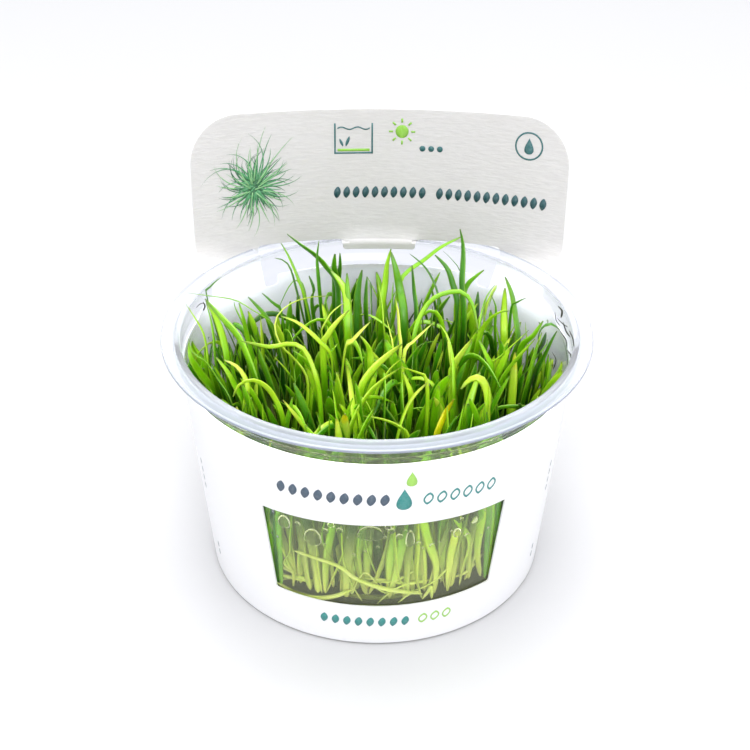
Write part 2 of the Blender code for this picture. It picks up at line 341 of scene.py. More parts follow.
def clear_polypropylene():
    """Injection-moulded clear polypropylene: the thin wall is clear. A faint milky field at its front is
    a painted reflection, coloured with a painted green of the leaves behind it. The thick rim is milky
    and soft, painted milkier at the front than at the back as painted light. Its channel is painted
    lavender grey, mostly at the front, a painted shade under the lip, and its lip has a painted thin
    darker edge, a painted shade where the light leaves sideways. The moulding is a little uneven, which
    bends the reflections."""
    material = new_material("clear polypropylene", {"IOR": 1.28})
    tree = material.node_tree
    place = add_node(tree, "ShaderNodeTexCoord").outputs["Object"]
    axes = add_node(tree, "ShaderNodeSeparateXYZ", {"Vector": place})
    # Painted light: the rim is made milkier at the front than at the back; the plastic does not differ.
    backward = add_node(
        tree, "ShaderNodeMapRange", {
            "Value": axes.outputs["Y"], "From Min": -36 * MM, "From Max": 6 * MM, "To Min": RIM_MILK,
            "To Max": RIM_MILK_BACK,
        },
    )
    milk = add_node(
        tree, "ShaderNodeMapRange", {
            "Value": axes.outputs["Z"], "From Min": RIM_FOOT, "From Max": CUP_TOP - 1.2 * MM,
            "To Max": backward,
        },
    )
    # Painted shade: the rim's channel is painted lavender grey, mostly at the front, for the shade under
    # the lip.
    depth = add_node(
        tree, "ShaderNodeMapRange",
        {"Value": axes.outputs["Z"], "From Min": CUP_TOP - 2.0 * MM, "From Max": CUP_TOP},
    )
    forward = add_node(
        tree, "ShaderNodeMapRange", {
            "Value": axes.outputs["Y"], "From Min": -38 * MM, "From Max": -12 * MM, "To Min": 1.0,
            "To Max": 0.15,
        },
    )
    clear = linear("#f6f8ff")
    painted_channel_shade = add_node(tree, "ShaderNodeValToRGB", {"Fac": depth})
    set_ramp(painted_channel_shade, [
        (0.00, clear), (0.40, linear("#c6cbd6")), (0.65, linear("#c9ced8")), (0.95, linear("#e8ecf2")),
    ])
    with_channel_shade = add_node(
        tree, "ShaderNodeMix", {SHARE: forward, COLOUR_A: clear, COLOUR_B: painted_channel_shade}, data_type="RGBA",
    )
    # Painted reflection: a faint milky field in the wall's front, coloured with a painted green of the
    # leaves behind it.
    aside = add_node(
        tree, "ShaderNodeMath", {0: axes.outputs["X"], 1: FIELD_MIDDLE}, operation="SUBTRACT",
    )
    away = add_node(tree, "ShaderNodeMath", {0: aside}, operation="ABSOLUTE")
    field = add_node(
        tree, "ShaderNodeMapRange", {
            "Value": away, "From Min": FIELD_HALF - 0.1 * MM, "From Max": FIELD_HALF + 0.1 * MM,
            "To Min": FIELD_PAINTED_REFLECTION, "To Max": 0.0,
        },
    )
    front = add_node(tree, "ShaderNodeMath", {0: axes.outputs["Y"], 1: 0.0}, operation="LESS_THAN")
    below = add_node(tree, "ShaderNodeMath", {0: axes.outputs["Z"], 1: RIM_FOOT}, operation="LESS_THAN")
    in_wall = add_node(tree, "ShaderNodeMath", {0: front, 1: below}, operation="MULTIPLY")
    painted_reflection = add_node(tree, "ShaderNodeMath", {0: field, 1: in_wall}, operation="MULTIPLY")
    green_share = add_node(tree, "ShaderNodeMapRange", {"Value": painted_reflection, "From Max": FIELD_PAINTED_REFLECTION})
    with_painted_reflection = add_node(
        tree, "ShaderNodeMix",
        {SHARE: green_share, COLOUR_A: with_channel_shade.outputs[COLOUR_OUT], COLOUR_B: linear("#ecf2d2")},
        data_type="RGBA",
    )
    level = add_node(tree, "ShaderNodeVectorMath", {0: place, 1: (1.0, 1.0, 0.0)}, operation="MULTIPLY")
    reach = add_node(tree, "ShaderNodeVectorMath", {0: level}, operation="LENGTH").outputs["Value"]
    # Painted shade: a thin darker line at the lip's outer edge.
    edge = add_node(
        tree, "ShaderNodeMapRange",
        {"Value": reach, "From Min": RIM_RADIUS - 0.16 * MM, "From Max": RIM_RADIUS - 0.02 * MM},
    )
    painted_edge_colour = add_node(
        tree, "ShaderNodeMix",
        {SHARE: edge, COLOUR_A: with_painted_reflection.outputs[COLOUR_OUT], COLOUR_B: linear("#a3a9b8")},
        data_type="RGBA",
    )
    milk_and_reflection = add_node(tree, "ShaderNodeMath", {0: milk, 1: painted_reflection}, operation="ADD")
    clearness = add_node(
        tree, "ShaderNodeMath", {0: 1.0, 1: milk_and_reflection}, operation="SUBTRACT", use_clamp=True,
    )
    cloud = add_node(
        tree, "ShaderNodeTexNoise", {"Vector": place, "Scale": 1.0 / (9 * MM), "Detail": 2.0},
    )
    wall_rough = add_node(tree, "ShaderNodeMapRange", {"Value": cloud, "To Min": 0.01, "To Max": 0.06})
    rim_rough = add_node(
        tree, "ShaderNodeMapRange", {
            "Value": axes.outputs["Z"], "From Min": SLEEVE_TOP - 2.0 * MM,
            "From Max": SLEEVE_TOP + 1.0 * MM, "To Max": 0.14,
        },
    )
    rough = add_node(tree, "ShaderNodeMath", {0: wall_rough, 1: rim_rough}, operation="ADD")
    bump = add_node(tree, "ShaderNodeBump", {"Height": cloud, "Strength": 0.12, "Distance": 0.2 * MM})
    fill(principled(material), {
        "Base Color": painted_edge_colour.outputs[COLOUR_OUT], "Transmission Weight": clearness,
        "Roughness": rough, "Normal": bump,
    })
    let_lamps_through(material, 0.95)
    return material


def card_finish(name, light, shade, fresh, roughness, grain, run, tooth, hollow_shade):
    """Carton board, thin enough to let some light through. Round the cup, below the slot, it is painted
    lighter than in the panel: painted light, not a difference in the board. The grain is the width of the
    ripple of its fibres and run how many times longer than wide a ripple is; the tooth is its height,
    small on the coated side, and the last argument how much darker its hollows are painted, a painted
    shade. Real fibres are about 0.05 mm wide, so the ripple is drawn coarser, as it shows."""
    material = new_material(name, {
        "Specular IOR Level": 0.35, "Subsurface Weight": 0.6, "Subsurface Radius": (1.0, 0.97, 0.90),
        "Subsurface Scale": 0.6 * MM,
    })
    tree = material.node_tree
    place = add_node(tree, "ShaderNodeTexCoord").outputs["Object"]
    stretched = add_node(
        tree, "ShaderNodeMapping", {"Vector": place, "Scale": (1.0 / run, 1.0 / run, 1.0)},
    )
    fibre = add_node(
        tree, "ShaderNodeTexNoise",
        {"Vector": stretched, "Scale": 1.0 / grain, "Detail": 3.0, "Roughness": 0.55},
    )
    cloud = add_node(
        tree, "ShaderNodeTexNoise", {"Vector": place, "Scale": 1.0 / (14 * MM), "Detail": 3.0},
    )
    blend = add_node(
        tree, "ShaderNodeMix",
        {SHARE: cloud, COLOUR_A: linear(light), COLOUR_B: linear(shade)},
        data_type="RGBA",
    )
    # Painted shade: the hollows of the fibre ripple are painted darker.
    painted_hollow_shade = add_node(
        tree, "ShaderNodeMapRange",
        {"Value": fibre, "From Min": 0.35, "From Max": 0.65, "To Min": 1.0 - hollow_shade},
    )
    hollow_shaded = add_node(
        tree, "ShaderNodeMix",
        {SHARE: 1.0, COLOUR_A: blend.outputs[COLOUR_OUT], COLOUR_B: painted_hollow_shade},
        data_type="RGBA", blend_type="MULTIPLY",
    )
    # Painted light: below the slot, round the cup, the colour goes over to the fresh one, which is
    # lighter than the panel.
    height = add_node(tree, "ShaderNodeSeparateXYZ", {"Vector": place}).outputs["Z"]
    below = add_node(
        tree, "ShaderNodeMapRange",
        {"Value": height, "From Min": NOTCH_FOOT, "From Max": SLOT_TOP, "To Min": 1.0, "To Max": 0.0},
    )
    painted_light_below = add_node(
        tree, "ShaderNodeMix",
        {SHARE: below, COLOUR_A: hollow_shaded.outputs[COLOUR_OUT], COLOUR_B: linear(fresh)},
        data_type="RGBA",
    )
    rough = add_node(
        tree, "ShaderNodeMapRange",
        {"Value": fibre, "To Min": roughness - 0.08, "To Max": roughness + 0.08},
    )
    bump = add_node(tree, "ShaderNodeBump", {"Height": fibre, "Strength": 1.0, "Distance": tooth})
    fill(principled(material), {
        "Base Color": painted_light_below.outputs[COLOUR_OUT], "Roughness": rough, "Normal": bump,
    })
    return material


def ink(name, colour):
    """Offset ink on coated card: flat, slightly satin, with a little mottle from the paper."""
    material = new_material(name, {"Roughness": 0.42})
    tree = material.node_tree
    place = add_node(tree, "ShaderNodeTexCoord").outputs["Object"]
    mottle = add_node(
        tree, "ShaderNodeTexNoise", {"Vector": place, "Scale": 1.0 / (0.6 * MM), "Detail": 2.0},
    )
    ramp = add_node(tree, "ShaderNodeValToRGB", {"Fac": mottle})
    base = linear(colour)
    pale = tuple(mix(c, 1.0, 0.06) for c in base[:3]) + (1.0,)
    set_ramp(ramp, [(0.35, base), (0.75, pale)])
    fill(principled(material), {"Base Color": ramp})
    return material


def leaf_tissue():
    """Soft living leaf, grown under a lid and a little wet: light passes into it, the foot is pale where
    no light reached, and the blade is fresh green with fine veins along it. Its margins are painted
    paler, a painted light through the thin edges; the blade is painted darker the lower it stands in the
    turf, a painted shade; and the very tips are painted a darker olive, a painted shade of tips against
    the light. A leaf with a tone below 0 stays green down to its foot, and one below -0.2 is a light
    fresh green all over, above the painted shade. The cell rows give its sheen a fine grain."""
    material = new_material("fresh leaf tissue", {
        "Subsurface Weight": 0.35, "Subsurface Radius": (0.6, 1.0, 0.15), "Subsurface Scale": 0.7 * MM,
        "Specular IOR Level": 0.5, "Coat Weight": 0.5, "Coat Roughness": 0.25,
    })
    tree = material.node_tree
    tone, along, across = (
        add_node(tree, "ShaderNodeAttribute", attribute_name=name).outputs["Fac"]
        for name in ("tone", "along", "across")
    )
    place = add_node(tree, "ShaderNodeTexCoord").outputs["Object"]
    height = add_node(tree, "ShaderNodeSeparateXYZ", {"Vector": place}).outputs["Z"]
    patches = add_node(
        tree, "ShaderNodeTexNoise", {"Vector": place, "Scale": 1.0 / (6 * MM), "Detail": 2.0},
    )
    shifted = add_node(tree, "ShaderNodeMath", {0: patches, 1: 0.30, 2: -0.15}, operation="MULTIPLY_ADD")
    varied = add_node(tree, "ShaderNodeMath", {0: tone, 1: shifted}, operation="ADD")
    # Painted shade: the lower a leaf stands between 56 mm and 36 mm, the darker its colour, for the shade
    # deep in the turf, with a touch of painted light at the top.
    painted_depth_shade = add_node(
        tree, "ShaderNodeMapRange",
        {"Value": height, "From Min": 36 * MM, "From Max": 56 * MM, "To Min": -0.42, "To Max": 0.08},
    )
    # A tone below -0.2 lifts the leaf to a light green, above the painted shade.
    lift = add_node(
        tree, "ShaderNodeMapRange",
        {"Value": tone, "From Min": -0.20, "From Max": -0.08, "To Min": 1.25, "To Max": 0.0},
    )
    lifted = add_node(tree, "ShaderNodeMath", {0: varied, 1: lift}, operation="ADD")
    shaded_tone = add_node(tree, "ShaderNodeMath", {0: lifted, 1: painted_depth_shade}, operation="ADD", use_clamp=True)
    blade = add_node(tree, "ShaderNodeValToRGB", {"Fac": shaded_tone})
    set_ramp(blade, [
        (0.00, linear("#155000")), (0.22, linear("#428e00")), (0.50, linear("#8fd40a")),
        (0.75, linear("#c4f02e")), (0.93, linear("#e2f85a")), (1.00, linear("#f8e512")),
    ])
    # Painted light: the margins are painted paler, as light through the thin edges.
    margin = add_node(tree, "ShaderNodeMath", {0: across}, operation="ABSOLUTE")
    margin_share = add_node(
        tree, "ShaderNodeMapRange", {"Value": margin, "From Min": 0.55, "To Max": 0.35},
    )
    painted_edge_colour = add_node(
        tree, "ShaderNodeMix",
        {SHARE: margin_share, COLOUR_A: blade, COLOUR_B: linear("#c4ea4a")},
        data_type="RGBA",
    )
    foot = add_node(
        tree, "ShaderNodeMapRange", {"Value": height, "From Min": 13 * MM, "From Max": 34 * MM},
    )
    deep = add_node(
        tree, "ShaderNodeMapRange", {"Value": tone, "From Max": 0.15, "To Min": 1.0, "To Max": 0.0},
    )
    green_share = add_node(tree, "ShaderNodeMath", {0: foot, 1: deep}, operation="MAXIMUM")
    pale_foot = add_node(
        tree, "ShaderNodeMix",
        {SHARE: green_share, COLOUR_A: linear("#f0fa96"), COLOUR_B: painted_edge_colour.outputs[COLOUR_OUT]},
        data_type="RGBA",
    )
    # Painted shade: beyond 88 % of each leaf the colour goes over to a darker olive, for tips seen
    # against the light.
    tip = add_node(tree, "ShaderNodeMapRange", {"Value": along, "From Min": 0.88, "To Max": 0.75})
    painted_tip_shade = add_node(
        tree, "ShaderNodeMix",
        {SHARE: tip, COLOUR_A: pale_foot.outputs[COLOUR_OUT], COLOUR_B: linear("#5d6a35")},
        data_type="RGBA",
    )
    rows = add_node(tree, "ShaderNodeCombineXYZ", {"X": across, "Y": along, "Z": tone})
    rows_scaled = add_node(tree, "ShaderNodeMapping", {"Vector": rows, "Scale": (2.6, 16.0, 40.0)})
    veins = add_node(tree, "ShaderNodeTexNoise", {"Vector": rows_scaled, "Scale": 1.6, "Detail": 2.0})
    cells = add_node(
        tree, "ShaderNodeTexNoise", {"Vector": place, "Scale": 1.0 / (0.28 * MM), "Detail": 1.0},
    )
    relief = add_node(tree, "ShaderNodeMath", {0: veins, 1: 2.0, 2: cells}, operation="MULTIPLY_ADD")
    bump = add_node(tree, "ShaderNodeBump", {"Height": relief, "Strength": 0.8, "Distance": 0.09 * MM})
    rough = add_node(tree, "ShaderNodeMapRange", {"Value": cells, "To Min": 0.22, "To Max": 0.44})
    fill(principled(material), {
        "Base Color": painted_tip_shade.outputs[COLOUR_OUT], "Roughness": rough, "Normal": bump,
    })
    return material


def stem_tissue():
    """Pale runner and root tissue that grew in the shade: cream to yellow-green, moist."""
    material = new_material("pale stem tissue", {
        "Roughness": 0.32, "Subsurface Weight": 0.4, "Subsurface Radius": (1.0, 0.9, 0.4),
        "Subsurface Scale": 0.8 * MM,
    })
    tree = material.node_tree
    place = add_node(tree, "ShaderNodeTexCoord").outputs["Object"]
    cloud = add_node(
        tree, "ShaderNodeTexNoise", {"Vector": place, "Scale": 1.0 / (4 * MM), "Detail": 3.0},
    )
    ramp = add_node(tree, "ShaderNodeValToRGB", {"Fac": cloud})
    set_ramp(ramp, [(0.35, linear("#f0f4ae")), (0.65, linear("#dcea80"))])
    fill(principled(material), {"Base Color": ramp})
    return material


def clear_liquid(name, colour, ior, roughness):
    """Water or set gel: colourless to faintly yellow, wet and clear."""
    material = new_material(name, {"Base Color": linear(colour), "Transmission Weight": 1.0, "IOR": ior})
    tree = material.node_tree
    place = add_node(tree, "ShaderNodeTexCoord").outputs["Object"]
    swirl = add_node(
        tree, "ShaderNodeTexNoise", {"Vector": place, "Scale": 1.0 / (6 * MM), "Detail": 2.0},
    )
    rough = add_node(
        tree, "ShaderNodeMapRange", {"Value": swirl, "To Min": roughness, "To Max": roughness + 0.05},
    )
    fill(principled(material), {"Roughness": rough})
    return material


# Meshes


def link_mesh(name, mesh, *finishes):
    """Puts a finished mesh in the scene with its materials."""
    for finish in finishes:
        mesh.materials.append(finish)
    piece = bpy.data.objects.new(name, mesh)
    bpy.context.scene.collection.objects.link(piece)
    return piece


def smooth_mesh(made, name):
    """A mesh of what was built, shaded smooth."""
    for face in made.faces:
        face.smooth = True
    mesh = bpy.data.meshes.new(name)
    made.to_mesh(mesh)
    made.free()
    return mesh


def apply_modifiers(piece):
    """Turns a piece with live modifiers into a plain mesh."""
    graph = bpy.context.evaluated_depsgraph_get()
    shaped = piece.evaluated_get(graph)
    plain = bpy.data.meshes.new_from_object(shaped, preserve_all_data_layers=True, depsgraph=graph)
    piece.modifiers.clear()
    old = piece.data
    piece.data = plain
    bpy.data.meshes.remove(old)
    return piece


def arc(centre, radius, start, end, steps):
    """Points of a circular arc in a plane, angles in degrees from its first axis."""
    turns = [math.radians(mix(start, end, k / steps)) for k in range(steps + 1)]
    return [(centre[0] + radius * math.cos(t), centre[1] + radius * math.sin(t)) for t in turns]


def circle(centre, radius, steps):
    """Points of a circle, each of them once."""
    return arc(centre, radius, 0, 360, steps)[:-1]


def at_turn(radius, turn, z):
    """A point round the cup's axis, by its turn from the back towards +X."""
    return radius * math.sin(turn), radius * math.cos(turn), z


def lathe(name, profile, finish):
    """A closed turned piece. The profile runs from the axis underneath, round the outside and
    back to the axis above."""
    made = bmesh.new()
    foot = made.verts.new((0.0, 0.0, profile[0][1]))
    head = made.verts.new((0.0, 0.0, profile[-1][1]))
    rings = []
    for radius, z in profile[1:-1]:
        turns = [2.0 * math.pi * k / CUP_STEPS for k in range(CUP_STEPS)]
        rings.append([made.verts.new(at_turn(radius, turn, z)) for turn in turns])
    for k in range(CUP_STEPS):
        after = (k + 1) % CUP_STEPS
        made.faces.new((foot, rings[0][k], rings[0][after]))
        made.faces.new((head, rings[-1][after], rings[-1][k]))
        for low, high in zip(rings, rings[1:]):
            made.faces.new((low[after], low[k], high[k], high[after]))
    return link_mesh(name, smooth_mesh(made, name), finish)


def wall_radius(z):
    """Outer radius of the cup's tapered wall."""
    return mix(BASE_RADIUS, SHOULDER_RADIUS, z / SHOULDER_Z)


def make_cup(finish):
    """The cup: flat base with rounded edge, tapered wall, stacking shoulder, neck, and a rim
    with a bead round the mouth, a shallow channel and a rolled outer lip."""
    height = CUP_TOP
    rim = RIM_RADIUS
    neck = MOUTH_RADIUS + CUP_WALL
    bead = 0.75 * MM
    lip = 0.42 * MM
    channel = height - 0.8 * MM
    under = height - 1.35 * MM
    inner_foot = wall_radius(2.0 * MM) - CUP_WALL
    profile = [(0.0, 0.0), (1.2 * MM, 0.0)]
    profile += arc((BASE_RADIUS - 1.0 * MM, 1.0 * MM), 1.0 * MM, -90, -5, 6)
    profile += [(wall_radius(z * MM), z * MM) for z in (6, 16, 26, 36, 46, 54.6)]
    profile += [(SHOULDER_RADIUS + 0.1 * MM, SHOULDER_Z), (neck - 0.1 * MM, SHOULDER_Z + 1.2 * MM)]
    profile += [(neck, SHOULDER_Z + 1.6 * MM), (neck, under - 0.4 * MM)]
    profile += arc((neck + 0.4 * MM, under - 0.4 * MM), 0.4 * MM, 180, 90, 3)[1:]
    profile += [(rim - 1.3 * MM, under)]
    profile += arc((rim - lip, height - 0.55 * MM), lip, -60, 0, 3)
    profile += arc((rim - lip, height - 0.05 * MM - lip), lip, 0, 150, 6)
    profile += [(rim - 1.25 * MM, channel + 0.05 * MM), (rim - 1.7 * MM, channel)]
    profile += [(MOUTH_RADIUS + 2.1 * MM, channel), (MOUTH_RADIUS + 1.75 * MM, channel + 0.08 * MM)]
    profile += arc((MOUTH_RADIUS + bead, height - bead), bead, 20, 180, 8)
    profile += [(MOUTH_RADIUS, channel - 0.6 * MM), (MOUTH_RADIUS, SHOULDER_Z + 1.9 * MM)]
    profile += [(MOUTH_RADIUS - 0.1 * MM, SHOULDER_Z + 1.5 * MM)]
    profile += [(SHOULDER_RADIUS - CUP_WALL + 0.1 * MM, SHOULDER_Z + 0.3 * MM)]
    profile += [(wall_radius(z * MM) - CUP_WALL, z * MM) for z in (54.6, 46, 36, 26, 16, 6)]
    profile += arc((inner_foot - 1.0 * MM, 2.0 * MM), 1.0 * MM, 5, -90, 6)
    profile += [(1.2 * MM, CUP_FLOOR), (0.0, CUP_FLOOR)]
    cup = lathe("clear_cup", profile, finish)
    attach(cup, "root")
    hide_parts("cup")


# The card sleeve, drawn flat and then wrapped


def sleeve_radius(z):
    """Outer radius of the wrapped sleeve."""
    return wall_radius(min(z, SHOULDER_Z)) + CLEARANCE + CARD


WRAP_RADIUS = sleeve_radius(SLEEVE_TOP)
FRONT = math.pi * WRAP_RADIUS


def sleeve_point(along, z, inset):
    """A point of the card, `along` it from the middle of the back, `inset` below its outer
    face: a cone low down, flaring back into the flatter header panel above."""
    if along > FRONT:
        along -= 2.0 * FRONT
    turn = along / WRAP_RADIUS
    radius = sleeve_radius(z) - inset
    wrapped = at_turn(radius, turn, z)
    rise = min(1.0, max(0.0, (z - SLOT_TOP) / (PANEL_TOP - SLOT_TOP)))
    curve = mix(PANEL_LOW_CURVE, PANEL_HIGH_CURVE, rise)
    bend = along / curve
    panel = (
        PANEL_ASIDE + (curve - inset) * math.sin(bend),
        PANEL_CENTRE_Y + PANEL_LEAN * rise - curve + (curve - inset) * math.cos(bend),
    )
    outward = smooth((abs(along) - SLOT_HALF_WIDTH) / (PANEL_HALF_WIDTH - SLOT_HALF_WIDTH))
    flare_end = mix(FLARE_END_INSIDE, FLARE_END_OUTSIDE, outward)
    flare = smooth((z - FLARE_START) / (flare_end - FLARE_START))
    flare *= 1.0 - smooth((abs(along) - PANEL_HALF_WIDTH) / FLARE_FADE)
    x = mix(wrapped[0], panel[0], flare)
    y = mix(wrapped[1], panel[1], flare)
    tab_root = SLOT_TOP + 0.8 * MM
    on_tab = SLOT_TOP - TAB_DROP - 0.1 * MM < z < tab_root
    if on_tab and abs(along) < TAB_HALF_WIDTH + 0.1 * MM:
        y -= TAB_INSET * smooth((tab_root - z) / (1.4 * MM))
    return Vector((x, y, z))


def rounded(points, radius, steps=5):
    """A closed outline with each of its corners rounded."""
    made = []
    count = len(points)
    for k in range(count):
        before, corner, after = (Vector(points[(k + d) % count]) for d in (-1, 0, 1))
        into = (before - corner).normalized()
        out = (after - corner).normalized()
        reach = min(radius, 0.49 * (before - corner).length, 0.49 * (after - corner).length)
        start = corner + into * reach
        end = corner + out * reach
        for step in range(steps + 1):
            t = step / steps
            point = start * (1 - t) ** 2 + corner * (2 * t * (1 - t)) + end * t ** 2
            made.append((point.x, point.y))
    return made


def sleeve_outline():
    """The flat outline of the sleeve, from its glued seam once round."""
    top = PANEL_TOP
    start = SEAM_TURN * WRAP_RADIUS
    end = start + 2.0 * FRONT
    side = PANEL_HALF_WIDTH
    foot = SLEEVE_FOOT
    points = [(start, foot), (end, foot), (end, SLEEVE_TOP)]
    points += arc((side + PANEL_FILLET, SLEEVE_TOP + PANEL_FILLET), PANEL_FILLET, 270, 180, 5)
    points += arc((side - PANEL_CORNER, top - PANEL_CORNER), PANEL_CORNER, 0, 90, 14)
    points += arc((PANEL_CORNER - side, top - PANEL_CORNER), PANEL_CORNER, 90, 180, 14)
    points += arc((-side - PANEL_FILLET, SLEEVE_TOP + PANEL_FILLET), PANEL_FILLET, 0, -90, 5)
    points.append((start, SLEEVE_TOP))
    return points


def slot_outline():
    """The slot under the panel: notches at both ends and a tab in its upper edge."""
    inner = SLOT_HALF_WIDTH - NOTCH_WIDTH
    right = [
        (TAB_HALF_WIDTH, SLOT_TOP),
        (SLOT_HALF_WIDTH, SLOT_TOP),
        (SLOT_HALF_WIDTH, NOTCH_FOOT),
        (inner, NOTCH_FOOT),
        (inner, SLOT_FOOT),
    ]
    left = [(-a, z) for a, z in reversed(right)]
    tab_foot = SLOT_TOP - TAB_DROP
    tab = [(-TAB_HALF_WIDTH, tab_foot), (TAB_HALF_WIDTH, tab_foot)]
    return rounded(right + left + tab, SLOT_CORNER)


def window_outline():
    """The window, a little wider at the top, with its upper edge bowed."""
    centre = (math.pi - WINDOW_TURN) * WRAP_RADIUS
    top = WINDOW_HALF_TOP * WRAP_RADIUS
    foot = WINDOW_HALF_FOOT * WRAP_RADIUS
    corners = [(-foot, WINDOW_FOOT), (foot, WINDOW_FOOT), (top, WINDOW_TOP), (-top, WINDOW_TOP)]
    outline = rounded(corners, WINDOW_CORNER, 3)
    high = 0.9 * WINDOW_TOP
    steps = 24
    points = []
    for k, (a, z) in enumerate(outline):
        points.append((centre + a, z))
        after = outline[(k + 1) % len(outline)]
        if z > high and after[1] > high and abs(after[0] - a) > 10 * MM:
            for step in range(1, steps):
                t = step / steps
                bow = WINDOW_BOW * math.sin(math.pi * t)
                points.append((centre + mix(a, after[0], t), z + bow))
    return points


def flat_sheet(outlines, column, row):
    """A flat mesh of an outline with holes, cut into columns and rows so that it can bend."""
    loops = [[Vector((a, z, 0.0)) for a, z in loop] for loop in outlines]
    made = bmesh.new()
    verts = [made.verts.new(point) for loop in loops for point in loop]
    for triangle in tessellate_polygon(loops):
        made.faces.new([verts[k] for k in triangle])
    bmesh.ops.recalc_face_normals(made, faces=made.faces)
    spans = []
    for axis, step in ((0, column), (1, row)):
        values = [v.co[axis] for v in made.verts]
        spans.append((axis, step, min(values), max(values)))
    for axis, step, first, last in spans:
        normal = Vector((1.0 - axis, axis, 0.0))
        count = max(1, round((last - first) / step))
        for k in range(1, count):
            at = mix(first, last, k / count)
            geometry = made.verts[:] + made.edges[:] + made.faces[:]
            bmesh.ops.bisect_plane(
                made, geom=geometry, dist=1e-7, plane_co=normal * at, plane_no=normal,
            )
    slanting = []
    for edge in made.edges:
        run = edge.verts[0].co - edge.verts[1].co
        if len(edge.link_faces) == 2 and abs(run.x) > 1e-7 and abs(run.y) > 1e-7:
            slanting.append(edge)
    bmesh.ops.dissolve_edges(made, edges=slanting, use_verts=False)
    spare = [v for v in made.verts if len(v.link_edges) == 2 and not v.is_boundary]
    bmesh.ops.dissolve_verts(made, verts=spare)
    return made


def wrap(flat, name, inset):
    """Bends a flat mesh round the cup and returns it as a mesh that faces outwards."""
    for vert in flat.verts:
        vert.co = sleeve_point(vert.co.x, vert.co.y, inset)
    bmesh.ops.remove_doubles(flat, verts=flat.verts, dist=0.002 * MM)
    bmesh.ops.recalc_face_normals(flat, faces=flat.faces)
    first = max(flat.faces, key=lambda face: face.calc_area())
    outward = Vector((first.calc_center_median().x, first.calc_center_median().y, 0.0))
    if first.normal.dot(outward) < 0.0:
        bmesh.ops.reverse_faces(flat, faces=flat.faces)
    return smooth_mesh(flat, name)


def make_sleeve(coated, back):
    """The card itself: coated outside, plain board inside."""
    flat = flat_sheet([sleeve_outline(), slot_outline(), window_outline()], 2.0 * MM, 2.0 * MM)
    sleeve = link_mesh("card_sleeve", wrap(flat, "card_sleeve", 0.0), coated, back)
    thick = sleeve.modifiers.new("board", "SOLIDIFY")
    thick.thickness = CARD
    thick.offset = -1.0
    thick.material_offset = 1
    apply_modifiers(sleeve)
    sleeve.data.set_sharp_from_angle(angle=math.radians(40))
    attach(sleeve, "root")
    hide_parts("sleeve")


def ring_outline(centre, radius, width, steps=40):
    """A printed ring: its outer circle and its hole."""
    return [circle(centre, radius, steps), arc(centre, radius - width, 360, 0, steps)[:-1]]


def wave_outline(start, end, height, swing, waves, width):
    """A printed wave of even width."""
    steps = 16 * waves
    upper = []
    lower = []
    for k in range(steps + 1):
        t = k / steps
        z = height + swing * math.sin(2.0 * math.pi * waves * t)
        half = 0.5 * width
        upper.append((mix(start, end, t), z + half))
        lower.append((mix(start, end, t), z - half))
    return [lower + upper[::-1]]


def oval_outline(centre, height, width, lean=0.0):
    """An upright oval with pointed ends, whose top leans to the right."""
    steps = 14
    sides = {1: [], -1: []}
    for k in range(steps + 1):
        t = k / steps
        half = 0.5 * width * math.sin(math.pi * t) ** 0.7
        z = centre[1] + height * (t - 0.5)
        for side in sides:
            sides[side].append((centre[0] + lean * (t - 0.5) + side * half, z))
    return [sides[1] + sides[-1][-2:0:-1]]


def open_oval_outline(centre, height, width, lean):
    """The same oval as a line."""
    hole = oval_outline(centre, height - 3.2 * OVAL_LINE, width - 2.0 * OVAL_LINE, lean)[0]
    return oval_outline(centre, height, width, lean) + [hole[::-1]]


def oval_row(place, count, pitch, height, width, lean):
    return [oval_outline((place[0] + k * pitch, place[1]), height, width, lean) for k in range(count)]


def open_oval_row(place, count, pitch, drop, height, width, lean):
    """A row of open ovals, each of them `drop` lower than the one before; all in mm."""
    shapes = []
    for k in range(count):
        centre = (place[0] + pitch * k * MM, place[1] - drop * k * MM)
        shapes.append(open_oval_outline(centre, height * MM, width * MM, lean * MM))
    return shapes


def grass_blades(centre, count, near, reach, width, bend, rng):
    """Thin curved blades all round a centre, longer upwards and to the sides, that mostly bend
    the same way."""
    shapes = []
    steps = 9
    for k in range(count):
        turn = 2.0 * math.pi * (k + rng.uniform(-0.6, 0.6)) / count
        upward = 0.75 + 0.35 * max(0.0, math.cos(turn)) + 0.2 * abs(math.sin(turn))
        start = near * rng.uniform(0.1, 1.0)
        curl = bend * rng.uniform(-0.4, 1.7)
        far = near + rng.uniform(*reach) * upward
        sides = {1: [], -1: []}
        for step in range(steps + 1):
            t = step / steps
            radius = mix(start, far, t)
            angle = turn + curl * ((radius - start) / (10 * MM)) ** 2
            half = 0.5 * width * (1.0 - t) ** 0.7
            for side in sides:
                out = Vector((math.sin(angle), math.cos(angle)))
                point = Vector(centre) + out * radius + Vector((out.y, -out.x)) * side * half
                sides[side].append((point.x, point.y))
        shapes.append([sides[1] + sides[-1][-2::-1]])
    return shapes


def drop_outline(centre, size):
    """A plain water drop."""
    points = []
    for k in range(36):
        t = 2.0 * math.pi * k / 36
        x = 0.5 * size * math.sin(t) * math.sin(0.5 * t) ** 1.6
        points.append((centre[0] + x, centre[1] + 0.6 * size * math.cos(t)))
    return [points]


def sun_outlines(centre, radius):
    """A plain sun: a disc with eight short rays."""
    shapes = [[circle(centre, 0.5 * radius, 28)]]
    for k in range(8):
        turn = math.radians(45 * k)
        out = Vector((math.cos(turn), math.sin(turn)))
        side = Vector((-out.y, out.x)) * 0.07 * radius
        near = Vector(centre) + out * 0.68 * radius
        far = Vector(centre) + out * radius
        shapes.append([[tuple(near - side), tuple(far - side), tuple(far + side), tuple(near + side)]])
    return shapes


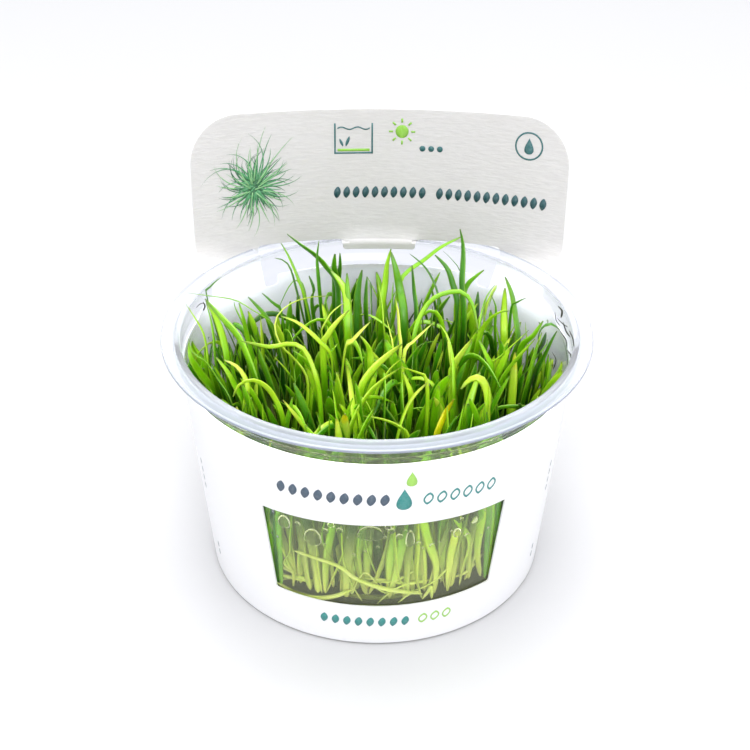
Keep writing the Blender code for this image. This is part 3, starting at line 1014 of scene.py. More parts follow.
def print_on_card(name, shapes, finish, front, layer=1):
    """A film of ink, or a layer of it over others; each shape lies a hair above the one before,
    so that they may cross. Shapes lie in true card coordinates: across from the middle of the
    header, or of the sleeve's front, to the viewer's right, and up from the table."""
    meshes = []
    for number, shape in enumerate(shapes):
        outlines = [[(FRONT - a if front else a, z) for a, z in loop] for loop in shape]
        flat = flat_sheet(outlines, 1.5 * MM, 1.5 * MM)
        height = INK_FILM * (layer + SHAPE_STEP * number)
        inset = -height if front else CARD + height
        meshes.append(wrap(flat, name, inset))
    joined = bmesh.new()
    for mesh in meshes:
        joined.from_mesh(mesh)
        bpy.data.meshes.remove(mesh)
    film = link_mesh(name, smooth_mesh(joined, name), finish)
    thick = film.modifiers.new("film", "SOLIDIFY")
    thick.thickness = 0.7 * INK_FILM
    thick.offset = -1.0 if front else 1.0
    apply_modifiers(film)
    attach(film, "root")


# Places of the printing, across the card and up from the table
TUFT = (-32.0 * MM, 77.0 * MM)
TANK = (-6.6 * MM, 88.6 * MM)
SUN = (5.6 * MM, 90.4 * MM)
RING = (37.6 * MM, 88.8 * MM)
LEFT_ROW = (-10.8 * MM, 74.7 * MM)
RIGHT_ROW = (15.4 * MM, 74.7 * MM)
FRONT_BOLD = (-21.6 * MM, 45.2 * MM)
FRONT_THIN = (11.6 * MM, 44.7 * MM)
FRONT_DROP = (6.2 * MM, 45.2 * MM)
FOOT_BOLD = (-13.0 * MM, 7.5 * MM)
FOOT_THIN = (12.2 * MM, 7.6 * MM)


def print_tuft():
    """A loose round tuft of grass in three greens."""
    rng = random.Random(SEED + 2)
    dark = ink("dark green ink", "#2f6b45")
    middle = ink("grass green ink", "#4a9560")
    pale = ink("pale green ink", "#86bd82")
    core = [[circle(TUFT, 2.6 * MM, 30)]]
    print_on_card("print_tuft_core", core, dark, False)
    blades = grass_blades(TUFT, 58, 2.6 * MM, (3 * MM, 7.5 * MM), 0.42 * MM, 0.6, rng)
    print_on_card("print_tuft_dark", blades, dark, False)
    near = (TUFT[0] + 0.5 * MM, TUFT[1] + 0.8 * MM)
    blades = grass_blades(near, 44, 3.0 * MM, (2 * MM, 10 * MM), 0.40 * MM, -0.45, rng)
    print_on_card("print_tuft_middle", blades, middle, False, 2)
    near = (TUFT[0] - 0.4 * MM, TUFT[1] - 0.3 * MM)
    blades = grass_blades(near, 26, 4.6 * MM, (1 * MM, 11 * MM), 0.34 * MM, 0.30, rng)
    print_on_card("print_tuft_pale", blades, pale, False, 3)


def print_header():
    """The header: a tank with water and ground, a sun with dots, a drop in a ring, and two rows
    of ovals."""
    teal = ink("dark teal ink", "#2c6668")
    lime = ink("leaf green ink", "#8cc542")
    half_wide = 4.9 * MM
    half_high = 3.9 * MM
    line = INK_LINE
    left, right = TANK[0] - half_wide, TANK[0] + half_wide
    foot, top = TANK[1] - half_high, TANK[1] + half_high
    glass = [
        (left, top), (left, foot), (right, foot), (right, top), (right - line, top),
        (right - line, foot + line), (left + line, foot + line), (left + line, top),
    ]
    water = wave_outline(left + 2 * line, right - 2 * line, top - 1.3 * MM, 0.3 * MM, 2, 0.35 * MM)
    plant = [oval_outline((TANK[0] - 1.5 * MM, foot + 3.2 * MM), 2.6 * MM, 0.8 * MM, 0.9 * MM)]
    plant.append(oval_outline((TANK[0] - 3.1 * MM, foot + 2.9 * MM), 2.0 * MM, 0.7 * MM, -0.8 * MM))
    dots = []
    for k in range(3):
        dots.append([circle((SUN[0] + (5.2 + 2.2 * k) * MM, SUN[1] - 4.2 * MM), 0.75 * MM, 20)])
    badge = [ring_outline(RING, 3.55 * MM, line), drop_outline(RING, 3.4 * MM)]
    rows = []
    for place, count in ((LEFT_ROW, 10), (RIGHT_ROW, 12)):
        rows += oval_row(place, count, 2.42 * MM, 3.1 * MM, 1.75 * MM, 0.35 * MM)
    print_on_card("print_header_teal", [[glass], water] + plant + dots + badge, teal, False)
    print_on_card("print_header_rows", rows, ink("deep teal ink", "#1f4f55"), False)
    ground = [(left + 2 * line, foot + 1.5 * line), (right - 2 * line, foot + 1.5 * line)]
    ground += [(right - 2 * line, foot + 1.3 * MM), (left + 2 * line, foot + 1.3 * MM)]
    print_on_card("print_header_lime", [[ground]] + sun_outlines(SUN, 3.3 * MM), lime, False)


def print_front():
    """The front: a bold and an open row of ovals with two drops, and a smaller row at the foot."""
    slate = ink("slate blue ink", "#45586a")
    sea = ink("sea green ink", "#2f8a86")
    lime = ink("fresh lime ink", "#9fd45c")
    bold = oval_row(FRONT_BOLD, 9, 2.95 * MM, 3.3 * MM, 2.0 * MM, 0.5 * MM)
    print_on_card("print_front_bold", bold, slate, True)
    thin = open_oval_row(FRONT_THIN, 6, 3.1, 0.12, 3.4, 2.3, 0.5)
    thin.append(drop_outline(FRONT_DROP, 5.0 * MM))
    print_on_card("print_front_sea", thin, sea, True)
    small_drop = [drop_outline((FRONT_DROP[0] + 1.5 * MM, FRONT_DROP[1] + 5.6 * MM), 3.4 * MM)]
    print_on_card("print_front_lime", small_drop, lime, True)
    foot = oval_row(FOOT_BOLD, 8, 2.95 * MM, 3.0 * MM, 1.9 * MM, 0.4 * MM)
    print_on_card("print_foot_sea", foot, sea, True)
    thin = open_oval_row(FOOT_THIN, 3, 3.2, 0.0, 3.1, 2.4, 0.4)
    print_on_card("print_foot_lime", thin, lime, True)


def print_sides():
    """Small pale marks on the sleeve's sides, in two columns."""
    grey = ink("pale grey ink", "#a9b0b4")
    marks = []
    for side in (-1, 1):
        for along, foot, rows in ((54.0, 27.5, 4), (52.0, 8.0, 2)):
            for row in range(rows):
                centre = (side * along * MM, (foot + 2.4 * row) * MM)
                marks.append(oval_outline(centre, 1.9 * MM, 0.9 * MM))
    print_on_card("print_sides", marks, grey, True)


# Leaves, drawn as centre lines and given their blades by geometry nodes


Line = namedtuple("Line", "points half_width turn tone")
Seen = namedtuple("Seen", "tone width places")


def behind(column, row, depth):
    """A point seen through the window, with its depth behind the wall in mm."""
    return seen_on_wall(column, row, (0.6 + depth) * MM)


def above(column, row, height):
    """A point of a leaf seen in the photo, with its height above the table in mm."""
    return seen_at(column, row, height * MM)


def new_group(name, geometry_in, inputs, geometry_out):
    """A geometry node group with its sockets, and the sockets of what it is given."""
    tree = bpy.data.node_groups.new(name, "GeometryNodeTree")
    sockets = tree.interface
    sockets.new_socket(geometry_in, in_out="INPUT", socket_type="NodeSocketGeometry")
    for label, kind, value in inputs:
        made = sockets.new_socket(label, in_out="INPUT", socket_type=kind)
        if value is not None:
            made.default_value = value
    sockets.new_socket(geometry_out, in_out="OUTPUT", socket_type="NodeSocketGeometry")
    return tree, add_node(tree, "NodeGroupInput").outputs


def blade_tree():
    """Geometry nodes that give every centre line in a mesh a blade or a round stem."""
    tree, given = new_group("blades along lines", "Lines", (
        ("Stations", "NodeSocketInt", 12),
        ("Section corners", "NodeSocketInt", 6),
        ("Thickness share", "NodeSocketFloat", 0.28),
        ("Finish", "NodeSocketMaterial", None),
    ), "Blades")
    lines = add_node(tree, "GeometryNodeMeshToCurve", {"Mesh": given["Lines"]})
    curved = add_node(tree, "GeometryNodeCurveSplineType", {"Curve": lines}, spline_type="CATMULL_ROM")
    width = add_node(tree, "GeometryNodeInputNamedAttribute", {"Name": "half_width"}, data_type="FLOAT")
    turn = add_node(tree, "GeometryNodeInputNamedAttribute", {"Name": "turn"}, data_type="FLOAT")
    turned = add_node(tree, "GeometryNodeSetCurveTilt", {"Curve": curved, "Tilt": turn})
    even = add_node(tree, "GeometryNodeResampleCurve", {"Curve": turned, "Count": given["Stations"]})
    circle = add_node(
        tree, "GeometryNodeCurvePrimitiveCircle", {"Resolution": given["Section corners"], "Radius": 1.0},
    )
    flat = add_node(tree, "ShaderNodeCombineXYZ", {"X": 1.0, "Y": given["Thickness share"], "Z": 1.0})
    section = add_node(tree, "GeometryNodeTransform", {"Geometry": circle, "Scale": flat})
    spot = add_node(tree, "GeometryNodeInputPosition")
    sides = add_node(tree, "ShaderNodeSeparateXYZ", {"Vector": spot})
    marked = add_node(
        tree, "GeometryNodeStoreNamedAttribute",
        {"Value": sides.outputs["X"], "Name": "across", "Geometry": section},
        data_type="FLOAT", domain="POINT",
    )
    blades = add_node(
        tree, "GeometryNodeCurveToMesh",
        {"Curve": even, "Profile Curve": marked, "Scale": width, "Fill Caps": True},
    )
    soft = add_node(tree, "GeometryNodeSetShadeSmooth", {"Geometry": blades})
    real = add_node(tree, "GeometryNodeRealizeInstances", {"Geometry": soft})
    painted = add_node(tree, "GeometryNodeSetMaterial", {"Geometry": real, "Material": given["Finish"]})
    add_node(tree, "NodeGroupOutput", {"Blades": painted})
    return tree


def run_tree(piece, tree, **inputs):
    """Runs geometry nodes on a piece with its named inputs and keeps the result."""
    modifier = piece.modifiers.new("nodes", "NODES")
    modifier.node_group = tree
    for item in tree.interface.items_tree:
        key = item.name.lower().replace(" ", "_")
        if key in inputs:
            modifier[item.identifier] = inputs[key]
    return apply_modifiers(piece)


def lines_mesh(name, lines):
    """Centre lines as chains of edges, with what the blades need stored on their points."""
    points = []
    edges = []
    values = {"half_width": [], "turn": [], "tone": [], "along": []}
    for line in lines:
        first = len(points)
        count = len(line.points)
        points.extend(line.points)
        edges.extend((first + k, first + k + 1) for k in range(count - 1))
        for k in range(count):
            values["half_width"].append(line.half_width[k])
            values["turn"].append(line.turn[k])
            values["tone"].append(line.tone)
            values["along"].append(k / (count - 1))
    mesh = bpy.data.meshes.new(name)
    mesh.from_pydata(points, edges, [])
    for key, numbers in values.items():
        mesh.attributes.new(key, "FLOAT", "POINT").data.foreach_set("value", numbers)
    return mesh


def kept_inside(point):
    """The point, moved in where it would touch the cup's wall below the rim."""
    x, y, z = point
    limit = wall_radius(min(z, SHOULDER_Z)) - CUP_WALL - WALL_GAP
    away = math.hypot(x, y)
    if z < CUP_TOP + 0.6 * MM and away > limit:
        return Vector((x * limit / away, y * limit / away, z))
    return Vector((x, y, z))


def taper(share):
    """Width of a leaf along it, as a share of its widest: slim foot, strap blade, blunt tip."""
    foot = mix(0.62, 1.0, smooth(share / 0.5)) * min(1.0, 0.4 + 20.0 * share)
    start = 0.80
    tip = 1.0 - ((share - start) / (1.0 - start)) ** 2.0 if share > start else 1.0
    return foot * mix(0.20, 1.0, tip)


def plant_centres():
    """Places of the plantlets, from the middle of the cup outwards."""
    centres = [Vector((0.0, 0.0))]
    for ring in range(1, 4):
        count = 6 * ring
        for k in range(count):
            turn = 2.0 * math.pi * (k + 0.5 * ring) / count
            centres.append(Vector((math.sin(turn), math.cos(turn))) * ring * RING_STEP)
    return centres


def nearest_crown(centres, place):
    """The number of the crown that stands nearest to a place."""
    return min(range(len(centres)), key=lambda k: (centres[k] - place).length)


def backness(centre):
    """How far back in the cup a crown stands, from 0 in its front half to 1 at the far wall."""
    return smooth(centre.y / RING_STEP / 2.5)


# Where along a leaf its points lie, closer together towards its foot and its tip
SHARES = (0.0, 0.03, 0.16, 0.32, 0.48, 0.62, 0.74, 0.84, 0.90, 0.95, 0.98, 1.0)


def grown_leaf(centre, rng):
    """One leaf of the turf: up from its crown, then out, a few of them arching over."""
    foot = GEL_TOP + rng.uniform(0.3, 1.0) * CROWN_HEIGHT
    heading = rng.uniform(0.0, 2.0 * math.pi)
    spread = Vector((math.sin(heading), math.cos(heading)))
    root = centre + spread * CROWN_SPREAD * math.sqrt(rng.random())
    arching = rng.random() < ARCHING_SHARE
    if arching:
        lean = rng.uniform(10, 20) * MM
        droop = rng.uniform(1.5, 2.3)
        tip_z = rng.uniform(40, 52) * MM
        power = rng.uniform(1.9, 2.8)
    else:
        lean = rng.uniform(1.5, 10.5) * MM
        droop = rng.uniform(0.0, 0.5)
        tip_z = TIP_LOW + TIP_RISE * rng.random() ** 1.4 - BACK_DROP * backness(centre)
        power = rng.uniform(1.5, 2.4)
    outward = centre * (TURF_SPREAD + rng.uniform(-0.04, 0.12))
    way = spread * lean + outward
    sideways = Vector((way.y, -way.x)) * rng.uniform(-0.3, 0.3)
    points = []
    for share in SHARES:
        rise = (1.0 + droop) * share - droop * share * share
        flat = root + way * share ** power + sideways * math.sin(math.pi * share)
        points.append(kept_inside((flat.x, flat.y, mix(foot, tip_z, rise))))
    widths = (1.0, 1.2, 1.4, 1.6) if arching else (1.3, 1.5, 1.7, 1.9, 2.1, 2.3, 2.6)
    half = 0.5 * MM * rng.choice(widths)
    start = rng.uniform(-0.7, 0.7)
    twist = rng.uniform(-0.9, 0.9)
    tone = min(0.90, max(0.16, rng.gauss(0.48, 0.24)))
    turns = [start + twist * s for s in SHARES]
    return Line(points, [half * taper(s) for s in SHARES], turns, tone)


def wall_leaf(centre, rng):
    """A leaf that stands along the cup's wall, outside its plantlet's crown."""
    turn = math.atan2(centre.x, centre.y) + rng.uniform(-0.2, 0.2)
    lean = rng.uniform(-0.16, 0.16)
    depth = rng.uniform(0.2, 4.5) * MM
    tip_z = rng.uniform(42, 57) * MM - BACK_DROP * backness(centre)
    bend = rng.uniform(-0.10, 0.10)
    points = []
    for share in SHARES:
        z = mix(GEL_TOP + 0.8 * MM, tip_z, share)
        radius = wall_radius(z) - CUP_WALL - WALL_GAP - depth * (1.0 - 0.5 * share)
        radius -= 5.0 * MM * max(0.0, share - 0.75)
        angle = turn + lean * share + bend * math.sin(math.pi * share)
        points.append(kept_inside(at_turn(radius, angle, z)))
    half = 0.5 * MM * rng.choice((1.5, 1.8, 2.1, 2.4, 2.7))
    facing = rng.uniform(-0.8, 0.8)
    tone = min(0.85, max(0.1, rng.gauss(0.50, 0.20)))
    return Line(points, [half * taper(s) for s in SHARES], [facing] * len(SHARES), tone)


def spline_point(before, start, end, after, t):
    """A point of the smooth curve between two points, given their neighbours."""
    return 0.5 * (
        2.0 * start
        + (end - before) * t
        + (2.0 * before - 5.0 * start + 4.0 * end - after) * t * t
        + (3.0 * start - before - 3.0 * end + after) * t ** 3
    )


def fine_line(points, width, turn, tone):
    """A line through the given points with more points between them, so that it bends evenly."""
    lengths = [0.0]
    for a, b in zip(points, points[1:]):
        lengths.append(lengths[-1] + (b - a).length)
    shares = [length / lengths[-1] for length in lengths]
    fine = []
    fine_shares = []
    for k in range(len(points) - 1):
        before = points[max(k - 1, 0)]
        after = points[min(k + 2, len(points) - 1)]
        for step in (0.0, 0.33, 0.67):
            fine.append(spline_point(before, points[k], points[k + 1], after, step))
            fine_shares.append(mix(shares[k], shares[k + 1], step))
    fine.append(points[-1])
    fine_shares.append(1.0)
    half = 0.5 * width * MM
    return Line(fine, [half * taper(s) for s in fine_shares], [turn] * len(fine), tone)


def seen_leaf(leaf, centres, rng):
    """A leaf that shows in the photo, carried down to the nearest crown."""
    seen = [above(*place) for place in leaf.places]
    low = seen[0]
    nearest = centres[nearest_crown(centres, low.xy * CROWN_PULL)]
    root = nearest + (low.xy - nearest) * 0.25
    foot = Vector((root.x, root.y, GEL_TOP + 0.5 * CROWN_HEIGHT))
    knee = foot.lerp(low, 0.55)
    knee.xy = mix(root, low.xy, 0.40)
    points = [foot, knee] + [kept_inside(p) for p in seen]
    return fine_line(points, leaf.width, rng.uniform(-0.4, 0.4), leaf.tone)


def window_leaf(leaf):
    """A leaf that shows through the window, from the gel up into the turf. Its tone is raised, which
    offsets the painted shade that its height would give it."""
    seen = [kept_inside(behind(*place)) for place in leaf.places]
    seen = [point for point in seen if point.z > GEL_TOP - 2.0 * MM]
    low = seen[0]
    high = seen[-1]
    foot = Vector((low.x, low.y, GEL_TOP + 0.8 * MM))
    points = [foot] if low.z > foot.z + 2.0 * MM else []
    points += seen
    top = high + (high - points[-2]).normalized() * WINDOW_REACH
    top.xy *= 0.97
    points.append(kept_inside(top))
    return fine_line(points, leaf.width, 0.0, leaf.tone + WINDOW_SHADE_LIFT)


# What shows through the window: its tone, its width in mm, and its places from below, as the
# photo's column and row with a depth behind the wall in mm
WINDOW_LEAVES = [
    Seen(0.75, 1.5, [(293, 571, 1), (287, 557, 1), (279, 532, 1), (276, 514, 1)]),
    Seen(0.60, 1.5, [(294, 571, 1), (285, 561, 1), (291, 550, 1), (291, 537, 1)]),
    Seen(0.50, 2.6, [(301, 560, 3), (303, 547, 3), (307, 523, 3)]),
    Seen(0.62, 2.6, [(326, 572, 2), (328, 552, 2), (333, 525, 2)]),
    Seen(0.80, 1.7, [(362, 600, 1), (352, 583, 1), (344, 561, 1), (342, 540, 1)]),
    Seen(0.85, 1.9, [(322, 592, 1), (320, 580, 1), (317, 564, 1)]),
    Seen(0.80, 1.6, [(328, 590, 1), (332, 580, 1), (336, 571, 1)]),
    Seen(0.55, 2.6, [(390, 580, 2), (391, 557, 2), (398, 526, 2)]),
    Seen(0.85, 1.9, [(403, 587, 1), (397, 571, 1), (395, 547, 1)]),
    Seen(0.50, 2.4, [(412, 575, 3), (410, 560, 3), (405, 540, 3)]),
    Seen(0.95, 1.9, [(421, 597, 1), (416, 575, 1), (417, 545, 1)]),
    Seen(0.80, 2.3, [(434, 592, 1), (436, 564, 1), (429, 543, 1), (424, 524, 1)]),
    Seen(0.88, 1.8, [(424, 590, 2), (424, 578, 2), (422, 550, 2)]),
    Seen(0.50, 2.8, [(441, 580, 3), (441, 561, 3), (443, 523, 3)]),
    Seen(1.00, 2.1, [(447, 590, 1), (450, 557, 1), (455, 533, 1)]),
    Seen(0.70, 1.7, [(459, 584, 1), (462, 568, 1), (469, 540, 1), (459, 523, 1)]),
    Seen(0.80, 2.2, [(479, 575, 1), (476, 547, 1), (481, 514, 1)]),
    Seen(0.65, 1.9, [(469, 575, 2), (472, 562, 2), (474, 552, 2)]),
    Seen(0.55, 2.5, [(352, 572, 3), (352, 550, 3), (356, 526, 3)]),
    Seen(0.45, 2.5, [(367, 570, 4), (368, 550, 4), (366, 528, 4)]),
]


# Each leaf that stands out: its tone, its width in mm, and its places from below up to its tip,
# as the photo's column and row with a height in mm
# The tall leaves at the back have low tones: painted shade, for blades seen against the light.
SEEN_LEAVES = [
    Seen(0.80, 1.3, [(308, 385, 50), (297, 362, 55), (283, 348, 59), (276, 335, 61), (275, 322, 63),
                     (281, 311, 65), (294, 302, 66), (312, 297, 66), (331, 296, 65)]),
    Seen(0.60, 1.1, [(320, 400, 50), (316, 378, 56), (309, 358, 60), (300, 346, 62), (286, 344, 63),
                     (272, 347, 63), (259, 345, 62), (241, 341, 60)]),
    Seen(0.35, 1.2, [(275, 332, 55), (268, 320, 60), (254, 311, 63), (235, 300, 65),
                     (210, 296, 65), (188, 293, 65)]),
    Seen(0.05, 0.8, [(207, 297, 64), (210, 287, 67), (221, 277, 69)]),
    Seen(0.42, 2.2, [(257, 385, 48), (248, 358, 54), (238, 336, 58), (222, 318, 61), (205, 299, 64)]),
    Seen(0.55, 2.0, [(228, 365, 49), (223, 338, 55), (216, 318, 59), (206, 301, 63)]),
    Seen(0.35, 1.8, [(216, 362, 50), (214, 340, 55), (211, 320, 59), (206, 303, 62)]),
    Seen(0.60, 1.4, [(209, 368, 50), (207, 350, 54), (203, 332, 58), (195, 318, 61), (186, 304, 64)]),
    Seen(0.28, 2.4, [(232, 405, 47), (218, 380, 52), (205, 361, 57), (193, 353, 60), (180, 340, 62)]),
    Seen(0.45, 2.0, [(212, 392, 48), (201, 374, 53), (191, 358, 58), (182, 343, 61)]),
    Seen(0.50, 1.7, [(244, 406, 48), (235, 386, 53), (227, 371, 57), (216, 357, 60)]),
    Seen(0.80, 1.5, [(245, 408, 49), (248, 388, 54), (243, 374, 57), (235, 365, 59), (224, 360, 60)]),
    Seen(0.66, 1.3, [(283, 420, 48), (274, 397, 54), (264, 385, 58), (251, 380, 60),
                     (239, 385, 59), (233, 397, 56)]),
    Seen(0.90, 2.4, [(306, 432, 46), (299, 420, 50), (291, 410, 54), (283, 400, 57)]),
    Seen(0.66, 1.6, [(332, 360, 52), (321, 343, 58), (310, 332, 61), (297, 322, 63), (281, 316, 64)]),
    Seen(0.22, 2.0, [(275, 335, 52), (267, 318, 57), (256, 305, 61), (248, 297, 64)]),
    Seen(0.40, 1.9, [(252, 355, 50), (247, 335, 55), (243, 317, 60), (239, 303, 63)]),
    Seen(0.15, 1.1, [(282, 315, 57), (274, 304, 61), (262, 293, 64)]),
    Seen(0.40, 2.3, [(307, 305, 55), (298, 278, 62), (289, 257, 67), (281, 243, 71)]),
    Seen(0.08, 1.6, [(299, 300, 56), (295, 284, 61), (291, 270, 65), (285, 261, 67), (275, 258, 68)]),
    Seen(0.14, 1.9, [(338, 290, 58), (327, 268, 63), (315, 255, 67), (301, 245, 70), (287, 234, 72)]),
    Seen(0.14, 1.1, [(320, 296, 57), (318, 273, 63), (317, 257, 67), (319, 241, 71)]),
    Seen(0.12, 2.2, [(312, 305, 55), (314, 290, 60), (309, 276, 64)]),
    Seen(0.45, 1.6, [(316, 376, 52), (308, 364, 56), (302, 357, 59), (292, 350, 60)]),
    Seen(0.14, 2.2, [(336, 285, 58), (334, 268, 63), (335, 254, 67)]),
    Seen(0.08, 1.5, [(338, 285, 58), (340, 268, 63), (340, 253, 68)]),
    Seen(0.50, 2.2, [(348, 330, 52), (347, 300, 58), (342, 284, 61), (331, 271, 63)]),
    Seen(0.28, 1.7, [(350, 330, 52), (348, 300, 58), (347, 273, 64)]),
    Seen(0.10, 1.9, [(357, 310, 55), (358, 290, 60), (362, 270, 65)]),
    Seen(0.12, 1.8, [(366, 315, 54), (366, 292, 60), (367, 277, 64)]),
    Seen(0.55, 1.6, [(384, 330, 54), (382, 305, 59), (377, 277, 65)]),
    Seen(0.48, 2.0, [(382, 310, 55), (385, 285, 61), (387, 265, 66), (391, 249, 70)]),
    Seen(0.20, 2.1, [(404, 320, 54), (400, 290, 60), (396, 270, 65), (391, 252, 69)]),
    Seen(0.10, 1.5, [(438, 305, 56), (434, 283, 61), (424, 266, 65), (410, 254, 68)]),
    Seen(0.06, 1.7, [(416, 320, 54), (414, 290, 60), (412, 265, 66)]),
    Seen(0.12, 1.6, [(458, 310, 55), (453, 285, 61), (447, 268, 65), (435, 255, 68)]),
    Seen(0.08, 0.9, [(462, 280, 62), (454, 262, 66), (443, 251, 69)]),
    Seen(0.40, 1.9, [(398, 290, 58), (406, 273, 62), (424, 260, 65), (441, 247, 69), (463, 236, 72)]),
    Seen(0.12, 1.8, [(464, 320, 54), (462, 285, 62), (463, 262, 67), (463, 245, 71), (460, 229, 75)]),
    Seen(0.80, 1.8, [(322, 335, 54), (325, 324, 57), (332, 312, 60), (345, 302, 62)]),
    Seen(0.72, 1.7, [(323, 350, 53), (328, 335, 57), (337, 322, 60), (349, 310, 62)]),
    Seen(0.84, 2.0, [(345, 350, 54), (352, 341, 57), (360, 332, 59), (370, 322, 61)]),
    Seen(0.62, 1.9, [(371, 372, 52), (370, 352, 57), (366, 343, 60), (360, 336, 61)]),
    Seen(0.78, 2.3, [(360, 395, 50), (370, 373, 55), (388, 355, 59), (402, 344, 62)]),
    Seen(0.70, 2.0, [(376, 395, 51), (383, 380, 55), (392, 367, 58), (404, 357, 61)]),
    Seen(0.74, 2.1, [(348, 437, 45), (357, 412, 50), (370, 392, 54), (384, 379, 57), (400, 368, 60)]),
    Seen(0.72, 1.0, [(427, 384, 56), (415, 372, 59), (400, 367, 61)]),
    Seen(0.80, 2.7, [(398, 435, 46), (405, 412, 51), (414, 396, 55), (427, 383, 59)]),
    Seen(0.80, 2.0, [(408, 438, 48), (398, 426, 51), (381, 419, 53), (363, 416, 54)]),
    Seen(1.30, 2.2, [(436, 440, 47), (441, 424, 51), (447, 410, 54), (454, 399, 58)]),
    Seen(0.84, 1.8, [(355, 425, 47), (353, 405, 51), (350, 383, 55), (347, 365, 60)]),
    Seen(0.60, 1.7, [(338, 432, 46), (336, 410, 51), (334, 396, 54), (332, 388, 56)]),
    Seen(0.84, 1.7, [(400, 355, 53), (399, 332, 57), (398, 313, 60), (395, 297, 63)]),
    Seen(0.82, 1.9, [(393, 355, 53), (390, 332, 57), (386, 317, 60)]),
    Seen(0.76, 2.5, [(452, 378, 51), (456, 362, 55), (464, 350, 58), (472, 339, 61)]),
    Seen(0.55, 1.2, [(454, 392, 50), (453, 360, 56), (447, 335, 60), (438, 323, 62)]),
    Seen(0.75, 1.0, [(404, 356, 57), (412, 343, 59), (420, 335, 60), (433, 323, 62)]),
    Seen(0.42, 1.2, [(414, 345, 54), (416, 328, 58), (423, 311, 61), (434, 298, 64), (450, 292, 65),
                     (464, 293, 65), (473, 306, 62), (478, 330, 57)]),
    Seen(0.70, 1.5, [(411, 400, 52), (408, 385, 56), (403, 372, 59)]),
    Seen(0.30, 1.5, [(462, 305, 57), (466, 287, 61), (475, 277, 64), (484, 270, 66)]),
    Seen(0.42, 1.7, [(478, 335, 54), (482, 312, 58), (487, 296, 62), (495, 285, 65)]),
    Seen(0.25, 1.3, [(495, 330, 54), (496, 308, 60), (491, 295, 63)]),
    Seen(0.28, 2.2, [(518, 345, 50), (516, 320, 56), (512, 295, 62), (505, 277, 67)]),
    Seen(0.62, 1.9, [(504, 340, 52), (504, 312, 58), (505, 288, 64)]),
    Seen(0.12, 0.8, [(511, 311, 60), (518, 302, 63), (526, 298, 65)]),
    Seen(0.52, 2.0, [(478, 345, 52), (482, 330, 56), (491, 318, 60), (500, 312, 62), (509, 311, 61)]),
    Seen(0.35, 1.6, [(520, 352, 52), (533, 336, 57), (543, 321, 61)]),
    Seen(0.12, 1.6, [(537, 350, 50), (539, 334, 56), (544, 326, 59), (552, 324, 60), (560, 330, 58)]),
    Seen(0.18, 1.9, [(536, 378, 46), (545, 355, 52), (552, 340, 57), (557, 331, 60)]),
    Seen(0.55, 1.9, [(487, 370, 50), (500, 357, 54), (514, 344, 58), (529, 330, 62)]),
    Seen(0.50, 1.9, [(500, 385, 48), (508, 370, 52), (521, 354, 57), (535, 339, 61)]),
    Seen(0.38, 2.2, [(528, 385, 46), (532, 365, 52), (536, 350, 56), (539, 340, 59)]),
    Seen(0.45, 1.8, [(492, 375, 50), (487, 357, 55), (479, 340, 59)]),
    Seen(0.70, 2.2, [(482, 425, 47), (488, 405, 52), (486, 388, 56), (479, 378, 59),
                     (469, 380, 58), (461, 389, 56)]),
    Seen(0.60, 1.8, [(466, 420, 48), (473, 392, 54), (480, 372, 58)]),
]


def backing_leaves():
    """Leaves deep in the cup, painted dark as shade, which fill the gaps between those in the window."""
    made = []
    for k in range(BACKING_LEAVES):
        column = mix(*BACKING_COLUMNS, (k + 0.5) / BACKING_LEAVES)
        swing = 5.0 * math.sin(2.4 * k)
        tone = -0.28 + 0.08 * math.sin(1.7 * k)
        columns = (column - swing, column, column + swing)
        made.append(Seen(tone, 3.2, list(zip(columns, BACKING_ROWS, (6, 5, 5)))))
    return made


def strip_leaves():
    """Fresh green leaves close behind the wall, at both ends of the window."""
    made = []
    for side in (-1, 1):
        for k in range(STRIP_LEAVES):
            low = STRIP_MIDDLE + side * (STRIP_FOOT_START + STRIP_FOOT_STEP * k)
            high = STRIP_MIDDLE + side * (STRIP_HEAD_START + STRIP_HEAD_STEP * k)
            depth = 0.2 + 0.5 * (k % 3)
            tone = -0.60 + 0.16 * math.sin(2.1 * k + side)
            columns = (low, mix(low, high, 0.4), high)
            made.append(Seen(tone, 1.5, [(c, row, depth) for c, row in zip(columns, STRIP_ROWS)]))
    return made


def make_turf(tree, finish):
    """The plantlets, one piece each: their crowns' leaves, and those that the photo shows."""
    rng = random.Random(SEED)
    centres = plant_centres()
    plants = []
    for centre in centres:
        grown = round(LEAVES_PER_PLANTLET * (1.0 - 0.3 * backness(centre)))
        lines = [grown_leaf(centre, rng) for _ in range(grown)]
        if centre.length > 2.5 * RING_STEP:
            at_wall = round(WALL_LEAVES * (1.0 - 0.5 * backness(centre)))
            lines += [wall_leaf(centre, rng) for _ in range(at_wall)]
        plants.append(lines)
    for leaf in WINDOW_LEAVES + strip_leaves() + backing_leaves():
        low = behind(*leaf.places[0]).xy
        plants[nearest_crown(centres, low)].append(window_leaf(leaf))
    for leaf in SEEN_LEAVES:
        low = above(*leaf.places[0]).xy * CROWN_PULL
        plants[nearest_crown(centres, low)].append(seen_leaf(leaf, centres, rng))
    for number, lines in enumerate(plants, start=1):
        name = f"leaves_{number:02d}"
        piece = link_mesh(name, lines_mesh(name, lines))
        run_tree(piece, tree, stations=34, section_corners=6, thickness_share=0.24, finish=finish)
        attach(piece, "root")
        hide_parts(f"plantlet_{number:02d}")


